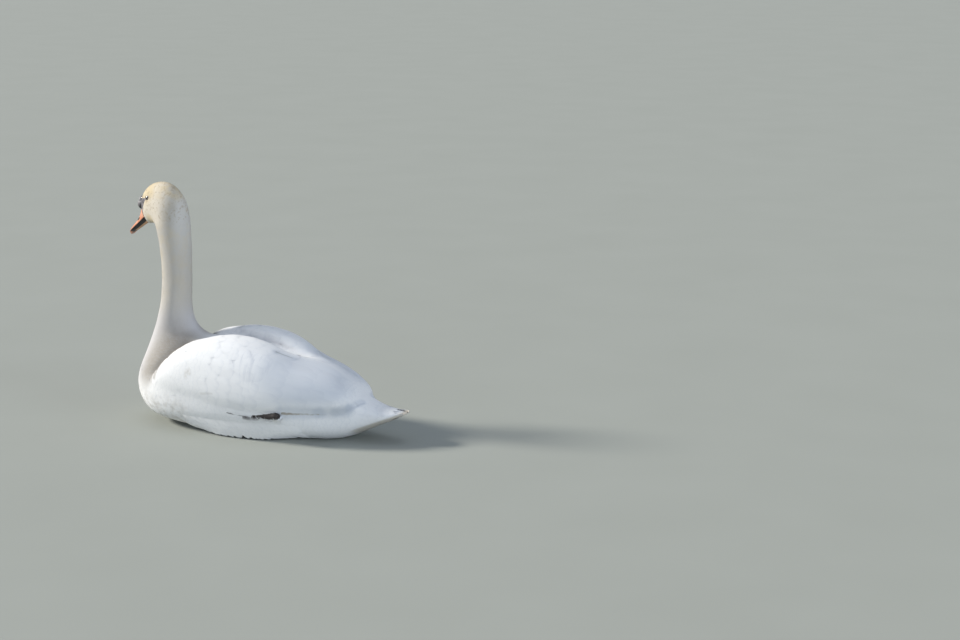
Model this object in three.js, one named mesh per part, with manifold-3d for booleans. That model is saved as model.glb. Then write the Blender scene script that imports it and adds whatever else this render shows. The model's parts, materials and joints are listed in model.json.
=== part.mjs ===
// A mute swan at rest on its belly, life size, in millimetres.
// The swan faces -X, its left side is -Y and +Z is up. The belly rests on the plane z = 0.
// The body is one loft from the tail's tip to the face, parted by thin cuts into the tail, the trunk,
// three lengths of neck and the head. The wings, scapulars, legs, bill and eyes are fitted to it.
// Every solid reaches out to the tips of the feathers that it stands for.
import * as THREE from "three";
import { mergeVertices } from "three/addons/utils/BufferGeometryUtils.js";
import Module from "manifold-3d";

const GAP = 0.3; // clearance between pieces that touch
const LIMB_GAP = 0.8; // clearance round the legs and feet
const BODY_SIDES = 26; // points round the body
const WING_SIDES = 20;
const SCAPULAR_SIDES = 12;
const LIMB_SIDES = 12;
const BILL_ARCH = 12; // steps over the bill's outer side
const BILL_FLAT = 4; // steps back across its flat side
const BALL = { round: 12, high: 9 }; // steps round the eyes and the knob
const TRUNK_STEPS = 1.5; // sections made from each row of the outline
const NECK_STEPS = 1;
const HEAD_STEPS = 1.6;
const WING_STEPS = 1.5;
const LIMB_STEPS = 1;
const SHIFT_X = 72; // moves the origin under the middle of the overall length
const FLOOR = { size: 2000, depth: 200 }; // block that cuts the belly flat at z = 0

// The head and the upper neck turn to the swan's right about an upright line through the neck.
const HEAD_YAW = THREE.MathUtils.degToRad(14);
const NECK_LINE_X = -325;
const TWIST_START = 17; // outline row where the turn begins
const TWIST_END = 23; // outline row where the turn is complete

// The bill's own frame: its origin is at the gape and its x axis runs forward along the bill.
const GAPE = { x: -415, z: 521 };
const BILL_PITCH = THREE.MathUtils.degToRad(38);

const EYE_RADIUS = 8;
const EYE_PLACE = { x: -390, y: 23.5, z: 572.5 };
const KNOB = { x: 1, z: 35, length: 13, width: 10, height: 12 }; // on the bill's base
const BILL_SQUARENESS = 2.4;

// Outline of the body from the tail's tip to the face. Each row is one section, which leans with the body:
// back x, back z, belly x, belly z, half width, squareness, and how much wider the belly's side is than
// the back's.
const BODY = [
  [332, 79, 331, 74, 11, 2.0, 0], // tail's tip
  [319, 82, 315, 66, 25, 2.2, 0],
  [296, 86, 290, 53, 36, 2.2, 0],
  [262, 91, 256, 39, 47, 2.2, 0],
  [225, 99, 220, 21, 58, 2.2, 0.05],
  [190, 116, 186, 6, 74, 2.2, 0.08], // rump and vent
  [150, 134, 146, -4, 92, 2.3, 0.1],
  [100, 156, 96, -6, 114, 2.4, 0.1],
  [40, 182, 38, -6, 134, 2.4, 0.1],
  [-40, 206, -42, -6, 147, 2.4, 0.1],
  [-120, 218, -125, -6, 151, 2.4, 0.1], // widest part of the trunk
  [-185, 222, -215, -6, 147, 2.4, 0.1],
  [-228, 222, -300, 0, 139, 2.3, 0.1],
  [-252, 227, -365, 10, 127, 2.2, 0.08],
  [-267, 236, -410, 38, 110, 2.1, 0.05],
  [-277, 249, -433, 80, 92, 2.0, 0], // foremost part of the breast
  [-284, 268, -428, 122, 75, 2.0, 0],
  [-287, 293, -410, 168, 60, 2.0, 0], // root of the neck
  [-286, 325, -388, 222, 50, 2.0, 0],
  [-282, 362, -369, 290, 42, 2.0, 0],
  [-280, 400, -362, 355, 39, 2.0, 0], // thinnest part of the neck
  [-279, 438, -362, 412, 39, 2.0, 0],
  [-281, 474, -366, 457, 41, 2.0, 0],
  [-283, 505, -372, 490, 43, 2.0, 0],
  [-285, 532, -377, 503, 43, 2.0, 0], // nape and throat
  [-290, 558, -382, 506, 42, 2.0, 0],
  [-300, 582, -388, 506, 40.5, 2.0, 0],
  [-317, 601, -394, 505, 38.5, 2.0, 0],
  [-340, 613, -399, 504, 36, 2.0, 0],
  [-366, 615, -403, 503, 33, 2.0, 0], // crown
  [-391, 609, -406, 502, 29.5, 2.0, 0],
  [-413, 596, -409, 501, 24.5, 2.0, 0], // forehead
  [-427, 579, -411, 501, 19.5, 2.1, 0],
  [-434, 561, -414, 502, 15, 2.2, 0], // feather edge round the bill
];

// The outline rows at which the tail, trunk, lengths of neck and head end.
const ROW = {
  tail: 5,
  breast: 16.5,
  lowerNeck: 20,
  middleNeck: 22,
  upperNeck: 24.5,
  face: BODY.length - 1,
};

// Left wing, folded. Each row is one section across the swan:
// x, inner edge y, z, ridge y, z, greatest half width, its z, lower edge y, z, and depth of the inner side.
const WING = [
  [-338, 104, 131, 110, 135, 117, 124, 112, 114, 10],
  [-320, 86, 152, 104, 159, 128, 130, 120, 106, 26],
  [-298, 70, 176, 100, 182, 137, 132, 128, 103, 36],
  [-268, 56, 202, 94, 208, 145, 133, 136, 102, 46],
  [-232, 44, 218, 87, 229, 151, 132, 143, 101, 55],
  [-180, 36, 222, 79, 240, 157, 130, 150, 98, 60],
  [-130, 32, 221, 73, 243, 160, 127, 152, 89, 62],
  [-80, 28, 218, 69, 239, 160, 122, 151, 80, 62],
  [-20, 22, 211, 63, 223, 156, 117, 147, 79, 58],
  [40, 8, 200, 54, 196, 146, 112, 138, 82, 48],
  [85, 1, 190, 46, 182, 133, 108, 124, 84, 42],
  [135, 1, 169, 40, 164, 113, 104, 103, 84, 34],
  [178, 1, 143, 36, 139, 91, 100, 80, 81, 26],
  [198, 3, 124, 34, 121, 74, 98, 66, 84, 18],
  [206, 16, 110, 36, 110, 60, 98, 54, 90, 8],
];

// Where a wing section's in-between points lie, as shares of the spans between its named points.
const WING_BULGE = { out: 0.68, up: 0.72 }; // outer face, between the ridge and the side
const WING_EDGE = { in: 0.35, up: 0.2 }; // lower edge, by the inner depth
const WING_INSIDE = { up: 0.15, out: 0.3, drop: 0.8 }; // inner face, by the inner depth

// Left scapular feathers, which lie over the top of the wing in the same kind of row without the inner depth:
// x, middle y, z, half width, half thickness, and the slope down towards the outside in degrees.
const SCAPULAR = [
  [-246, 86, 203, 10, 6, 16],
  [-225, 80, 214, 26, 11, 16],
  [-180, 73, 225, 40, 14, 14],
  [-130, 67, 229, 44, 15, 12],
  [-80, 61, 225, 43, 15, 9],
  [-30, 54, 213, 39, 14, 5],
  [15, 45, 194, 32, 12, 2],
  [45, 38, 178, 22, 8, 0],
  [58, 34, 170, 10, 4, -2],
];

// The right scapulars lie further back and higher than the left.
const SCAPULAR_MOVE = { left: { back: 0, up: 0 }, right: { back: 18, up: 5 } };

// Bill: x along the bill, half width, top and bottom above the line of the gape.
const UPPER_BILL = [
  [-12, 14, 38, 2],
  [2, 14.5, 32, 0.5],
  [10, 15, 25, 0.3],
  [18, 14.4, 18.5, 0.3],
  [28, 14, 14.5, 0.3],
  [40, 14.2, 11.6, 0.3],
  [52, 15, 9.8, 0.3],
  [62, 15.6, 8.4, 0.3],
  [70, 14.8, 7.4, 0.1],
  [76, 11.5, 5.8, -1.5],
  [80.5, 6.5, 3, -3.6],
  [82, 2, -0.4, -4.2],
];
const LOWER_BILL = [
  [-12, 12.5, 0, -12],
  [2, 13, 0, -12.5],
  [15, 13, 0, -12],
  [32, 12.2, 0, -9.5],
  [50, 12.4, 0, -7],
  [61, 12.4, 0, -5.4],
  [69, 10, -0.2, -4.4],
  [74, 6, -0.6, -3.4],
];

// Left leg, laid along the flank, and foot, tucked forward under the belly's edge:
// x, y, z, half width, half height.
const LEG = [
  [42, 141, 71, 3, 4],
  [38, 141, 71, 7.5, 8],
  [29, 141, 71, 9, 9.5],
  [11, 141, 70, 6.5, 8.5],
  [-32, 139, 66, 5.5, 7.5],
  [-63, 133, 56, 6.5, 7.5],
  [-74, 130, 50, 7, 7],
];
const FOOT = [
  [-75, 130, 50, 7, 7],
  [-92, 121, 38, 12, 6.5],
  [-120, 103, 21, 17, 5],
  [-150, 88, 10.5, 19, 4],
  [-182, 80, 6.5, 19, 3.6],
  [-200, 78, 4.8, 13, 3],
  [-207, 78, 4.4, 5, 2],
];

const PLUMAGE_WHITE = new THREE.MeshStandardMaterial({ color: 0xf2f1ec, roughness: 0.85, metalness: 0 });
const PLUMAGE_CREAM = new THREE.MeshStandardMaterial({ color: 0xe4d8bd, roughness: 0.85, metalness: 0 });
const BILL_ORANGE = new THREE.MeshStandardMaterial({ color: 0xd9764a, roughness: 0.45, metalness: 0 });
const BILL_BLACK = new THREE.MeshStandardMaterial({ color: 0x1f1b1a, roughness: 0.5, metalness: 0 });
const LEG_BLACK = new THREE.MeshStandardMaterial({ color: 0x26211f, roughness: 0.6, metalness: 0 });
const EYE_BROWN = new THREE.MeshStandardMaterial({ color: 0x140d09, roughness: 0.08, metalness: 0 });

const wasm = await Module();
wasm.setup();

// Rows of numbers read as smooth curves: at(2.5) gives the row halfway between rows 2 and 3.
function smoothRows(rows) {
  const size = rows[0].length;
  const track = new THREE.CubicInterpolant(rows.map((row, i) => i), rows.flat(), size);
  return (place) => Array.from(track.evaluate(place));
}

// Closed solid through rings of points, with each end filled from its middle.
function loft(rings) {
  const sides = rings[0].length;
  const middle = (ring) => ring.reduce((sum, p) => sum.add(p), new THREE.Vector3()).divideScalar(sides);
  const points = [...rings.flat(), middle(rings[0]), middle(rings[rings.length - 1])];
  const faces = [];
  const startCentre = points.length - 2;
  const endCentre = points.length - 1;
  const lastRing = (rings.length - 1) * sides;
  for (let k = 0; k < sides; k++) {
    const next = (k + 1) % sides;
    for (let i = 0; i + 1 < rings.length; i++) {
      const here = i * sides;
      const there = here + sides;
      faces.push(here + k, here + next, there + next, here + k, there + next, there + k);
    }
    faces.push(startCentre, next, k);
    faces.push(endCentre, lastRing + k, lastRing + next);
  }
  const geometry = new THREE.BufferGeometry().setFromPoints(points);
  geometry.setIndex(faces);
  return geometry;
}

// The geometry as a manifold-3d solid, facing outwards.
function solid(geometry) {
  const bare = new THREE.BufferGeometry().setAttribute("position", geometry.getAttribute("position"));
  bare.setIndex(geometry.index);
  const merged = mergeVertices(bare, 1e-4);
  const triVerts = new Uint32Array(merged.index.array);
  const vertProperties = new Float32Array(merged.attributes.position.array);
  const made = new wasm.Manifold(new wasm.Mesh({ numProp: 3, vertProperties, triVerts }));
  if (made.volume() > 0) return made;
  for (let i = 0; i < triVerts.length; i += 3) {
    [triVerts[i + 1], triVerts[i + 2]] = [triVerts[i + 2], triVerts[i + 1]];
  }
  return new wasm.Manifold(new wasm.Mesh({ numProp: 3, vertProperties, triVerts }));
}

function geometryOf(made) {
  const mesh = made.getMesh();
  const geometry = new THREE.BufferGeometry();
  geometry.setAttribute("position", new THREE.BufferAttribute(mesh.vertProperties, mesh.numProp));
  geometry.setIndex(new THREE.BufferAttribute(mesh.triVerts, 1));
  return geometry;
}

// The same solid grown outwards by the gap, so that what is cut by it keeps its distance.
function grown(made, by = GAP) {
  const geometry = geometryOf(made);
  geometry.computeVertexNormals();
  const { position, normal } = geometry.attributes;
  for (let i = 0; i < position.count; i++) {
    position.setXYZ(
      i,
      position.getX(i) + by * normal.getX(i),
      position.getY(i) + by * normal.getY(i),
      position.getZ(i) + by * normal.getZ(i),
    );
  }
  return solid(geometry);
}

// A superellipse's point: across and along run from -1 to 1.
function superellipse(angle, squareness) {
  const bend = (value) => Math.sign(value) * Math.abs(value) ** (2 / squareness);
  return { across: bend(Math.sin(angle)), along: bend(Math.cos(angle)) };
}

const bodyAt = smoothRows(BODY);

// The turn of the head and the upper neck at a place along the outline.
function yawAt(place) {
  return HEAD_YAW * THREE.MathUtils.smoothstep(place, TWIST_START, TWIST_END);
}

function turnAboutNeck(point, yaw) {
  const x = point.x - NECK_LINE_X;
  const turned = new THREE.Vector3(x, point.y, point.z).applyAxisAngle(new THREE.Vector3(0, 0, 1), -yaw);
  turned.x += NECK_LINE_X;
  return turned;
}

// One section of the body, moved forward along the body by a small distance.
function bodyRing(place, forward = 0) {
  const [backX, backZ, bellyX, bellyZ, halfWidth, squareness, low] = bodyAt(place);
  const back = new THREE.Vector3(backX, 0, backZ);
  const belly = new THREE.Vector3(bellyX, 0, bellyZ);
  const middle = back.clone().add(belly).divideScalar(2);
  const up = back.clone().sub(belly).divideScalar(2);
  const ahead = new THREE.Vector3(-up.z, 0, up.x).normalize().multiplyScalar(forward);
  const ring = [];
  for (let k = 0; k < BODY_SIDES; k++) {
    const { across, along } = superellipse((2 * Math.PI * k) / BODY_SIDES, squareness);
    const point = middle.clone().addScaledVector(up, along).add(ahead);
    point.y = halfWidth * across * (1 - low * along);
    ring.push(turnAboutNeck(point, yawAt(place)));
  }
  return ring;
}

// The length of the body between two places on the outline, shortened at each end by half a gap.
function bodyLength(from, to, steps) {
  const count = Math.max(2, Math.round((to - from) * steps));
  const rings = [];
  for (let i = 0; i <= count; i++) {
    const trim = i === 0 ? GAP / 2 : i === count ? -GAP / 2 : 0;
    rings.push(bodyRing(from + ((to - from) * i) / count, trim));
  }
  return solid(loft(rings));
}

// A ring through a few points of a section across the swan, smoothed.
function sectionRing(x, points, count) {
  const corners = points.map(([y, z]) => new THREE.Vector3(x, y, z));
  const curve = new THREE.CatmullRomCurve3(corners, true, "centripetal");
  return curve.getPoints(count).slice(0, count);
}

function wingRing(row) {
  const [x, innerY, innerZ, ridgeY, ridgeZ, sideY, sideZ, lowY, lowZ, depth] = row;
  const points = [
    [innerY, innerZ],
    [ridgeY, ridgeZ],
    [ridgeY + WING_BULGE.out * (sideY - ridgeY), sideZ + WING_BULGE.up * (ridgeZ - sideZ)],
    [sideY, sideZ],
    [lowY, lowZ],
    [lowY - WING_EDGE.in * depth, lowZ + WING_EDGE.up * depth],
    [sideY - depth, sideZ + WING_INSIDE.up * depth],
    [ridgeY + WING_INSIDE.out * (sideY - ridgeY), ridgeZ - depth],
    [innerY, innerZ - WING_INSIDE.drop * depth],
  ];
  const ring = sectionRing(x, points, WING_SIDES);
  ring.forEach((point) => {
    point.y = Math.max(point.y, GAP / 2); // the wings meet along the middle of the back
  });
  return ring;
}

function scapularRing(row) {
  const [x, y, z, halfWidth, halfThickness, slope] = row;
  const tilt = THREE.MathUtils.degToRad(slope);
  const ring = [];
  for (let k = 0; k < SCAPULAR_SIDES; k++) {
    const { across, along } = superellipse((2 * Math.PI * k) / SCAPULAR_SIDES, 2);
    const out = halfWidth * across;
    const up = halfThickness * along;
    const ringY = y + out * Math.cos(tilt) + up * Math.sin(tilt);
    const ringZ = z + up * Math.cos(tilt) - out * Math.sin(tilt);
    ring.push(new THREE.Vector3(x, ringY, ringZ));
  }
  return ring;
}

function limbRing(row) {
  const [x, y, z, halfWidth, halfHeight] = row;
  const ring = [];
  for (let k = 0; k < LIMB_SIDES; k++) {
    const { across, along } = superellipse((2 * Math.PI * k) / LIMB_SIDES, 2);
    ring.push(new THREE.Vector3(x, y + halfWidth * across, z + halfHeight * along));
  }
  return ring;
}

// A limb's rows with clearance all round, to cut its bed in the flank.
function roomy(rows) {
  const first = rows[0];
  const last = rows[rows.length - 1];
  return rows.map((row) => {
    const [x, y, z, halfWidth, halfHeight] = row;
    const beyond = row === first ? LIMB_GAP : row === last ? -LIMB_GAP : 0;
    return [x + beyond, y, z, halfWidth + LIMB_GAP, halfHeight + LIMB_GAP];
  });
}

// A loft with sections between its rows, for the swan's right side (+Y) or, mirrored, its left (-Y).
function sideSolid(rows, ringOf, side, steps) {
  const at = smoothRows(rows);
  const rings = [];
  const last = rows.length - 1;
  const count = Math.round(last * steps);
  for (let i = 0; i <= count; i++) {
    const ring = ringOf(at((last * i) / count));
    ring.forEach((point) => {
      point.y *= side;
    });
    rings.push(ring);
  }
  return solid(loft(rings));
}

// The bill's frame placed on the head.
const billPlace = new THREE.Matrix4()
  .makeTranslation(NECK_LINE_X, 0, 0)
  .multiply(new THREE.Matrix4().makeRotationZ(-HEAD_YAW))
  .multiply(new THREE.Matrix4().makeTranslation(GAPE.x - NECK_LINE_X, 0, GAPE.z))
  .multiply(new THREE.Matrix4().makeRotationZ(Math.PI))
  .multiply(new THREE.Matrix4().makeRotationY(BILL_PITCH));

// One half of the bill: arched on its outer side, flat where the halves meet.
function billSolid(rows, outerIsTop) {
  const rings = [];
  for (const [x, halfWidth, top, bottom] of rows) {
    const ring = [];
    for (let k = 0; k <= BILL_ARCH; k++) {
      const { across, along } = superellipse((Math.PI * k) / BILL_ARCH - Math.PI / 2, BILL_SQUARENESS);
      const z = outerIsTop ? bottom + (top - bottom) * along : top - (top - bottom) * along;
      ring.push(new THREE.Vector3(x, halfWidth * across, z));
    }
    for (let k = 1; k < BILL_FLAT; k++) {
      ring.push(new THREE.Vector3(x, halfWidth * (1 - (2 * k) / BILL_FLAT), outerIsTop ? bottom : top));
    }
    rings.push(ring);
  }
  return solid(loft(rings).applyMatrix4(billPlace));
}

function ellipsoid(radii, place) {
  const geometry = new THREE.SphereGeometry(1, BALL.round, BALL.high);
  geometry.scale(radii.x, radii.y, radii.z);
  geometry.translate(place.x, place.y, place.z);
  return geometry;
}

function eyeSolid(side) {
  const place = turnAboutNeck(new THREE.Vector3(EYE_PLACE.x, EYE_PLACE.y * side, EYE_PLACE.z), HEAD_YAW);
  return solid(ellipsoid({ x: EYE_RADIUS, y: EYE_RADIUS, z: EYE_RADIUS }, place));
}

function buildPieces() {
  const floor = new THREE.BoxGeometry(FLOOR.size, FLOOR.size, FLOOR.depth);
  floor.translate(0, 0, -FLOOR.depth / 2);
  const legs = {};
  const feet = {};
  const room = {};
  for (const [name, side] of [["left", -1], ["right", 1]]) {
    legs[name] = sideSolid(LEG, limbRing, side, LIMB_STEPS);
    feet[name] = sideSolid(FOOT, limbRing, side, LIMB_STEPS);
    room[`leg_${name}`] = sideSolid(roomy(LEG), limbRing, side, LIMB_STEPS);
    room[`foot_${name}`] = sideSolid(roomy(FOOT), limbRing, side, LIMB_STEPS);
  }
  const eyes = { left: eyeSolid(-1), right: eyeSolid(1) };
  const tail = bodyLength(0, ROW.tail, TRUNK_STEPS);
  const wholeTrunk = bodyLength(ROW.tail, ROW.breast, TRUNK_STEPS);
  const trunkGrown = grown(wholeTrunk);
  let trunk = wholeTrunk.subtract(solid(floor));
  for (const limb of [room.leg_left, room.leg_right, room.foot_left, room.foot_right]) {
    trunk = trunk.subtract(limb);
  }
  const neckLower = bodyLength(ROW.breast, ROW.lowerNeck, NECK_STEPS);
  const neckMiddle = bodyLength(ROW.lowerNeck, ROW.middleNeck, NECK_STEPS);
  const neckUpper = bodyLength(ROW.middleNeck, ROW.upperNeck, NECK_STEPS);
  let head = bodyLength(ROW.upperNeck, ROW.face, HEAD_STEPS);
  const face = grown(head);
  head = head.subtract(grown(eyes.left)).subtract(grown(eyes.right));
  const knobGeometry = ellipsoid(
    { x: KNOB.length, y: KNOB.width, z: KNOB.height },
    { x: KNOB.x, y: 0, z: KNOB.z },
  );
  const knob = solid(knobGeometry.applyMatrix4(billPlace));
  const billLower = billSolid(LOWER_BILL, false);
  const billRoom = grown(billLower, 2 * GAP);
  const billUpper = billSolid(UPPER_BILL, true).add(knob).subtract(face).subtract(billRoom);
  const pieces = {
    tail: [tail, PLUMAGE_WHITE],
    trunk: [trunk, PLUMAGE_WHITE],
    neck_lower: [neckLower, PLUMAGE_CREAM],
    neck_middle: [neckMiddle, PLUMAGE_CREAM],
    neck_upper: [neckUpper, PLUMAGE_CREAM],
    head: [head, PLUMAGE_CREAM],
    bill_upper: [billUpper, BILL_ORANGE],
    bill_lower: [billLower.subtract(face), BILL_BLACK],
  };
  for (const [name, side] of [["left", -1], ["right", 1]]) {
    const { back, up } = SCAPULAR_MOVE[name];
    const scapular = sideSolid(SCAPULAR, scapularRing, side, WING_STEPS).translate(back, 0, up);
    const wing = sideSolid(WING, wingRing, side, WING_STEPS)
      .subtract(trunkGrown)
      .subtract(grown(tail))
      .subtract(grown(neckLower))
      .subtract(room[`leg_${name}`])
      .subtract(grown(scapular));
    const mantle = scapular.subtract(trunkGrown).subtract(grown(neckLower));
    pieces[`scapulars_${name}`] = [mantle, PLUMAGE_WHITE];
    pieces[`wing_${name}`] = [wing, PLUMAGE_WHITE];
    pieces[`leg_${name}`] = [legs[name], LEG_BLACK];
    pieces[`foot_${name}`] = [feet[name].subtract(room[`leg_${name}`]), LEG_BLACK];
    pieces[`eye_${name}`] = [eyes[name], EYE_BROWN];
  }
  return pieces;
}

const group = new THREE.Group();
group.position.x = SHIFT_X;
for (const [name, [made, material]] of Object.entries(buildPieces())) {
  const mesh = new THREE.Mesh(geometryOf(made), material);
  mesh.name = name;
  group.add(mesh);
}

export default group;
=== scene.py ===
# %% [markdown]
# A mute swan as a life-size still model. It rests on its belly with the wings folded and the neck
# upright. The solids of the body come in as a fixed frame. They are measured and dressed here, and
# never moved. The swan faces -X, its left side is -Y, and +Z is up.

# %% The frame
import json
import math

import bpy
import numpy as np
from mathutils import Matrix, Vector
from mathutils.bvhtree import BVHTree

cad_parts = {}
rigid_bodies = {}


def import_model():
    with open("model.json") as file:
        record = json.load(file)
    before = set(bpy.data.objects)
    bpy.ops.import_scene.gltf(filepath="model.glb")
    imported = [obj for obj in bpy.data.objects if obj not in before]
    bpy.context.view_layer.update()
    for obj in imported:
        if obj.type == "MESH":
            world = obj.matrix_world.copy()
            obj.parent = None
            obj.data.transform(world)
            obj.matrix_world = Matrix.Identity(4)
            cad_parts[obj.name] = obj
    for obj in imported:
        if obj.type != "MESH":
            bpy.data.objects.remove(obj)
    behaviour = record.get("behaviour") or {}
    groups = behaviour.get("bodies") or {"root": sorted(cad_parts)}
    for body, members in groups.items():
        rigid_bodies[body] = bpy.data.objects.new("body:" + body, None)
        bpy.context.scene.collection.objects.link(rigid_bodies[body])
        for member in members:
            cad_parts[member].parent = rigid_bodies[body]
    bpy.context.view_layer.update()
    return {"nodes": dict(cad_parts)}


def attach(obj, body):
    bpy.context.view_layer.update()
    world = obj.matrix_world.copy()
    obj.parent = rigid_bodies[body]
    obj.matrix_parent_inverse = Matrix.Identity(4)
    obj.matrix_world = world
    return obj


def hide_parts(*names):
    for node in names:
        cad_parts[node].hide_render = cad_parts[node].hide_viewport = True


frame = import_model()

MM = 0.001
SIDES = (("left", -1), ("right", 1))  # each side's name and the sign of its y
nodes = frame["nodes"]

# %% [markdown]
# The camera stands behind the swan's left shoulder, a little below the eyes of a standing person,
# and looks down a little. The frame is 960 by 640, so the 36 mm sensor is its long side.

# %% Camera
CAMERA_PLACE = (2.378, -4.374, 1.378)
CAMERA_YAW = 22.22  # degrees, from looking along +Y
CAMERA_PITCH = -12.53  # degrees above level
CAMERA_LENS, CAMERA_SENSOR = 75, 36  # mm

camera_data = bpy.data.cameras.new("camera")
camera_data.lens = CAMERA_LENS
camera_data.sensor_width = CAMERA_SENSOR
camera = bpy.data.objects.new("camera", camera_data)
camera.location = CAMERA_PLACE
camera.rotation_euler = (math.radians(90 + CAMERA_PITCH), 0, math.radians(CAMERA_YAW))
bpy.context.scene.collection.objects.link(camera)
bpy.context.scene.camera = camera
print("camera", round(Vector(CAMERA_PLACE).length, 2), "m from the origin")

# %% [markdown]
# A studio with a plain pale floor, only so grey that a white bird still stands out. A warm sun
# shines from ahead of the swan, and the sky's cool light fills the shaded flank. Every light is a
# wide sun, because an area lamp would leave its own bright patch on the floor.

# %% Stage and light
FLOOR_SIZE = 60
SKY_LIGHT = (0.82, 0.91, 1.0)
LIGHTS = [  # name, where it shines from, strength, colour, and its angle in degrees
    ("key_light", (-4.78, -0.80, 2.58), 4.2, (1.0, 0.955, 0.87), 10),
    ("fill_light", (0.0, -5.8, 0.5), 0.67, SKY_LIGHT, 30),
    ("rim_light", (5.5, -1.2, 1.1), 0.95, SKY_LIGHT, 30),
    ("top_light", (0.3, 1.0, 5.0), 0.30, (0.90, 0.95, 1.0), 30),
]
STUDIO_COLOUR, STUDIO_STRENGTH = (0.70, 0.79, 0.95, 1), 0.40


def deselect():
    for item in bpy.context.selected_objects:
        item.select_set(False)


def select_only(*items):
    deselect()
    for item in items:
        item.select_set(True)
    bpy.context.view_layer.objects.active = items[0]


def add_sun(name, place, power, colour, spread):
    """A light that shines from a place towards the swan."""
    data = bpy.data.lights.new(name, "SUN")
    data.energy = power
    data.color = colour
    data.angle = math.radians(spread)
    light = bpy.data.objects.new(name, data)
    light.location = place
    light.rotation_euler = Vector(place).to_track_quat("Z", "Y").to_euler()
    bpy.context.scene.collection.objects.link(light)


deselect()
bpy.ops.mesh.primitive_grid_add(x_subdivisions=8, y_subdivisions=8, size=FLOOR_SIZE)
floor = bpy.context.object
floor.name = "floor"

for light in LIGHTS:
    add_sun(*light)
world = bpy.data.worlds.new("studio")
world.use_nodes = True
backdrop = world.node_tree.nodes["Background"]
backdrop.inputs["Color"].default_value = STUDIO_COLOUR
backdrop.inputs["Strength"].default_value = STUDIO_STRENGTH
bpy.context.scene.world = world
bpy.context.scene.view_settings.view_transform = "Standard"
print("lights:", ", ".join(light[0] for light in LIGHTS))

# %% [markdown]
# Shaders are written as sums. A small class wraps a socket, so that an expression on values adds
# the Math nodes it needs. Colours are mixed and vectors are moved by nodes of their own kind.

# %% Shader maths
class Value:
    """A socket of a material's nodes, with the usual operators."""

    def __init__(self, build, socket):
        self.build = build
        self.socket = socket

    def _math(self, operation, first, second=None, clamp=False):
        settings = {"operation": operation, "use_clamp": clamp}
        values = {0: first} if second is None else {0: first, 1: second}
        return self.build.node("ShaderNodeMath", settings, values)

    def __add__(self, other):
        return self._math("ADD", self, other)

    def __sub__(self, other):
        return self._math("SUBTRACT", self, other)

    def __rsub__(self, other):
        return self._math("SUBTRACT", other, self)

    def __mul__(self, other):
        return self._math("MULTIPLY", self, other)

    __radd__ = __add__
    __rmul__ = __mul__

    def __pow__(self, power):
        return self._math("POWER", self, power)

    def abs(self):
        return self._math("ABSOLUTE", self)

    def clamped(self):
        return self._math("ADD", self, 0.0, clamp=True)


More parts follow.
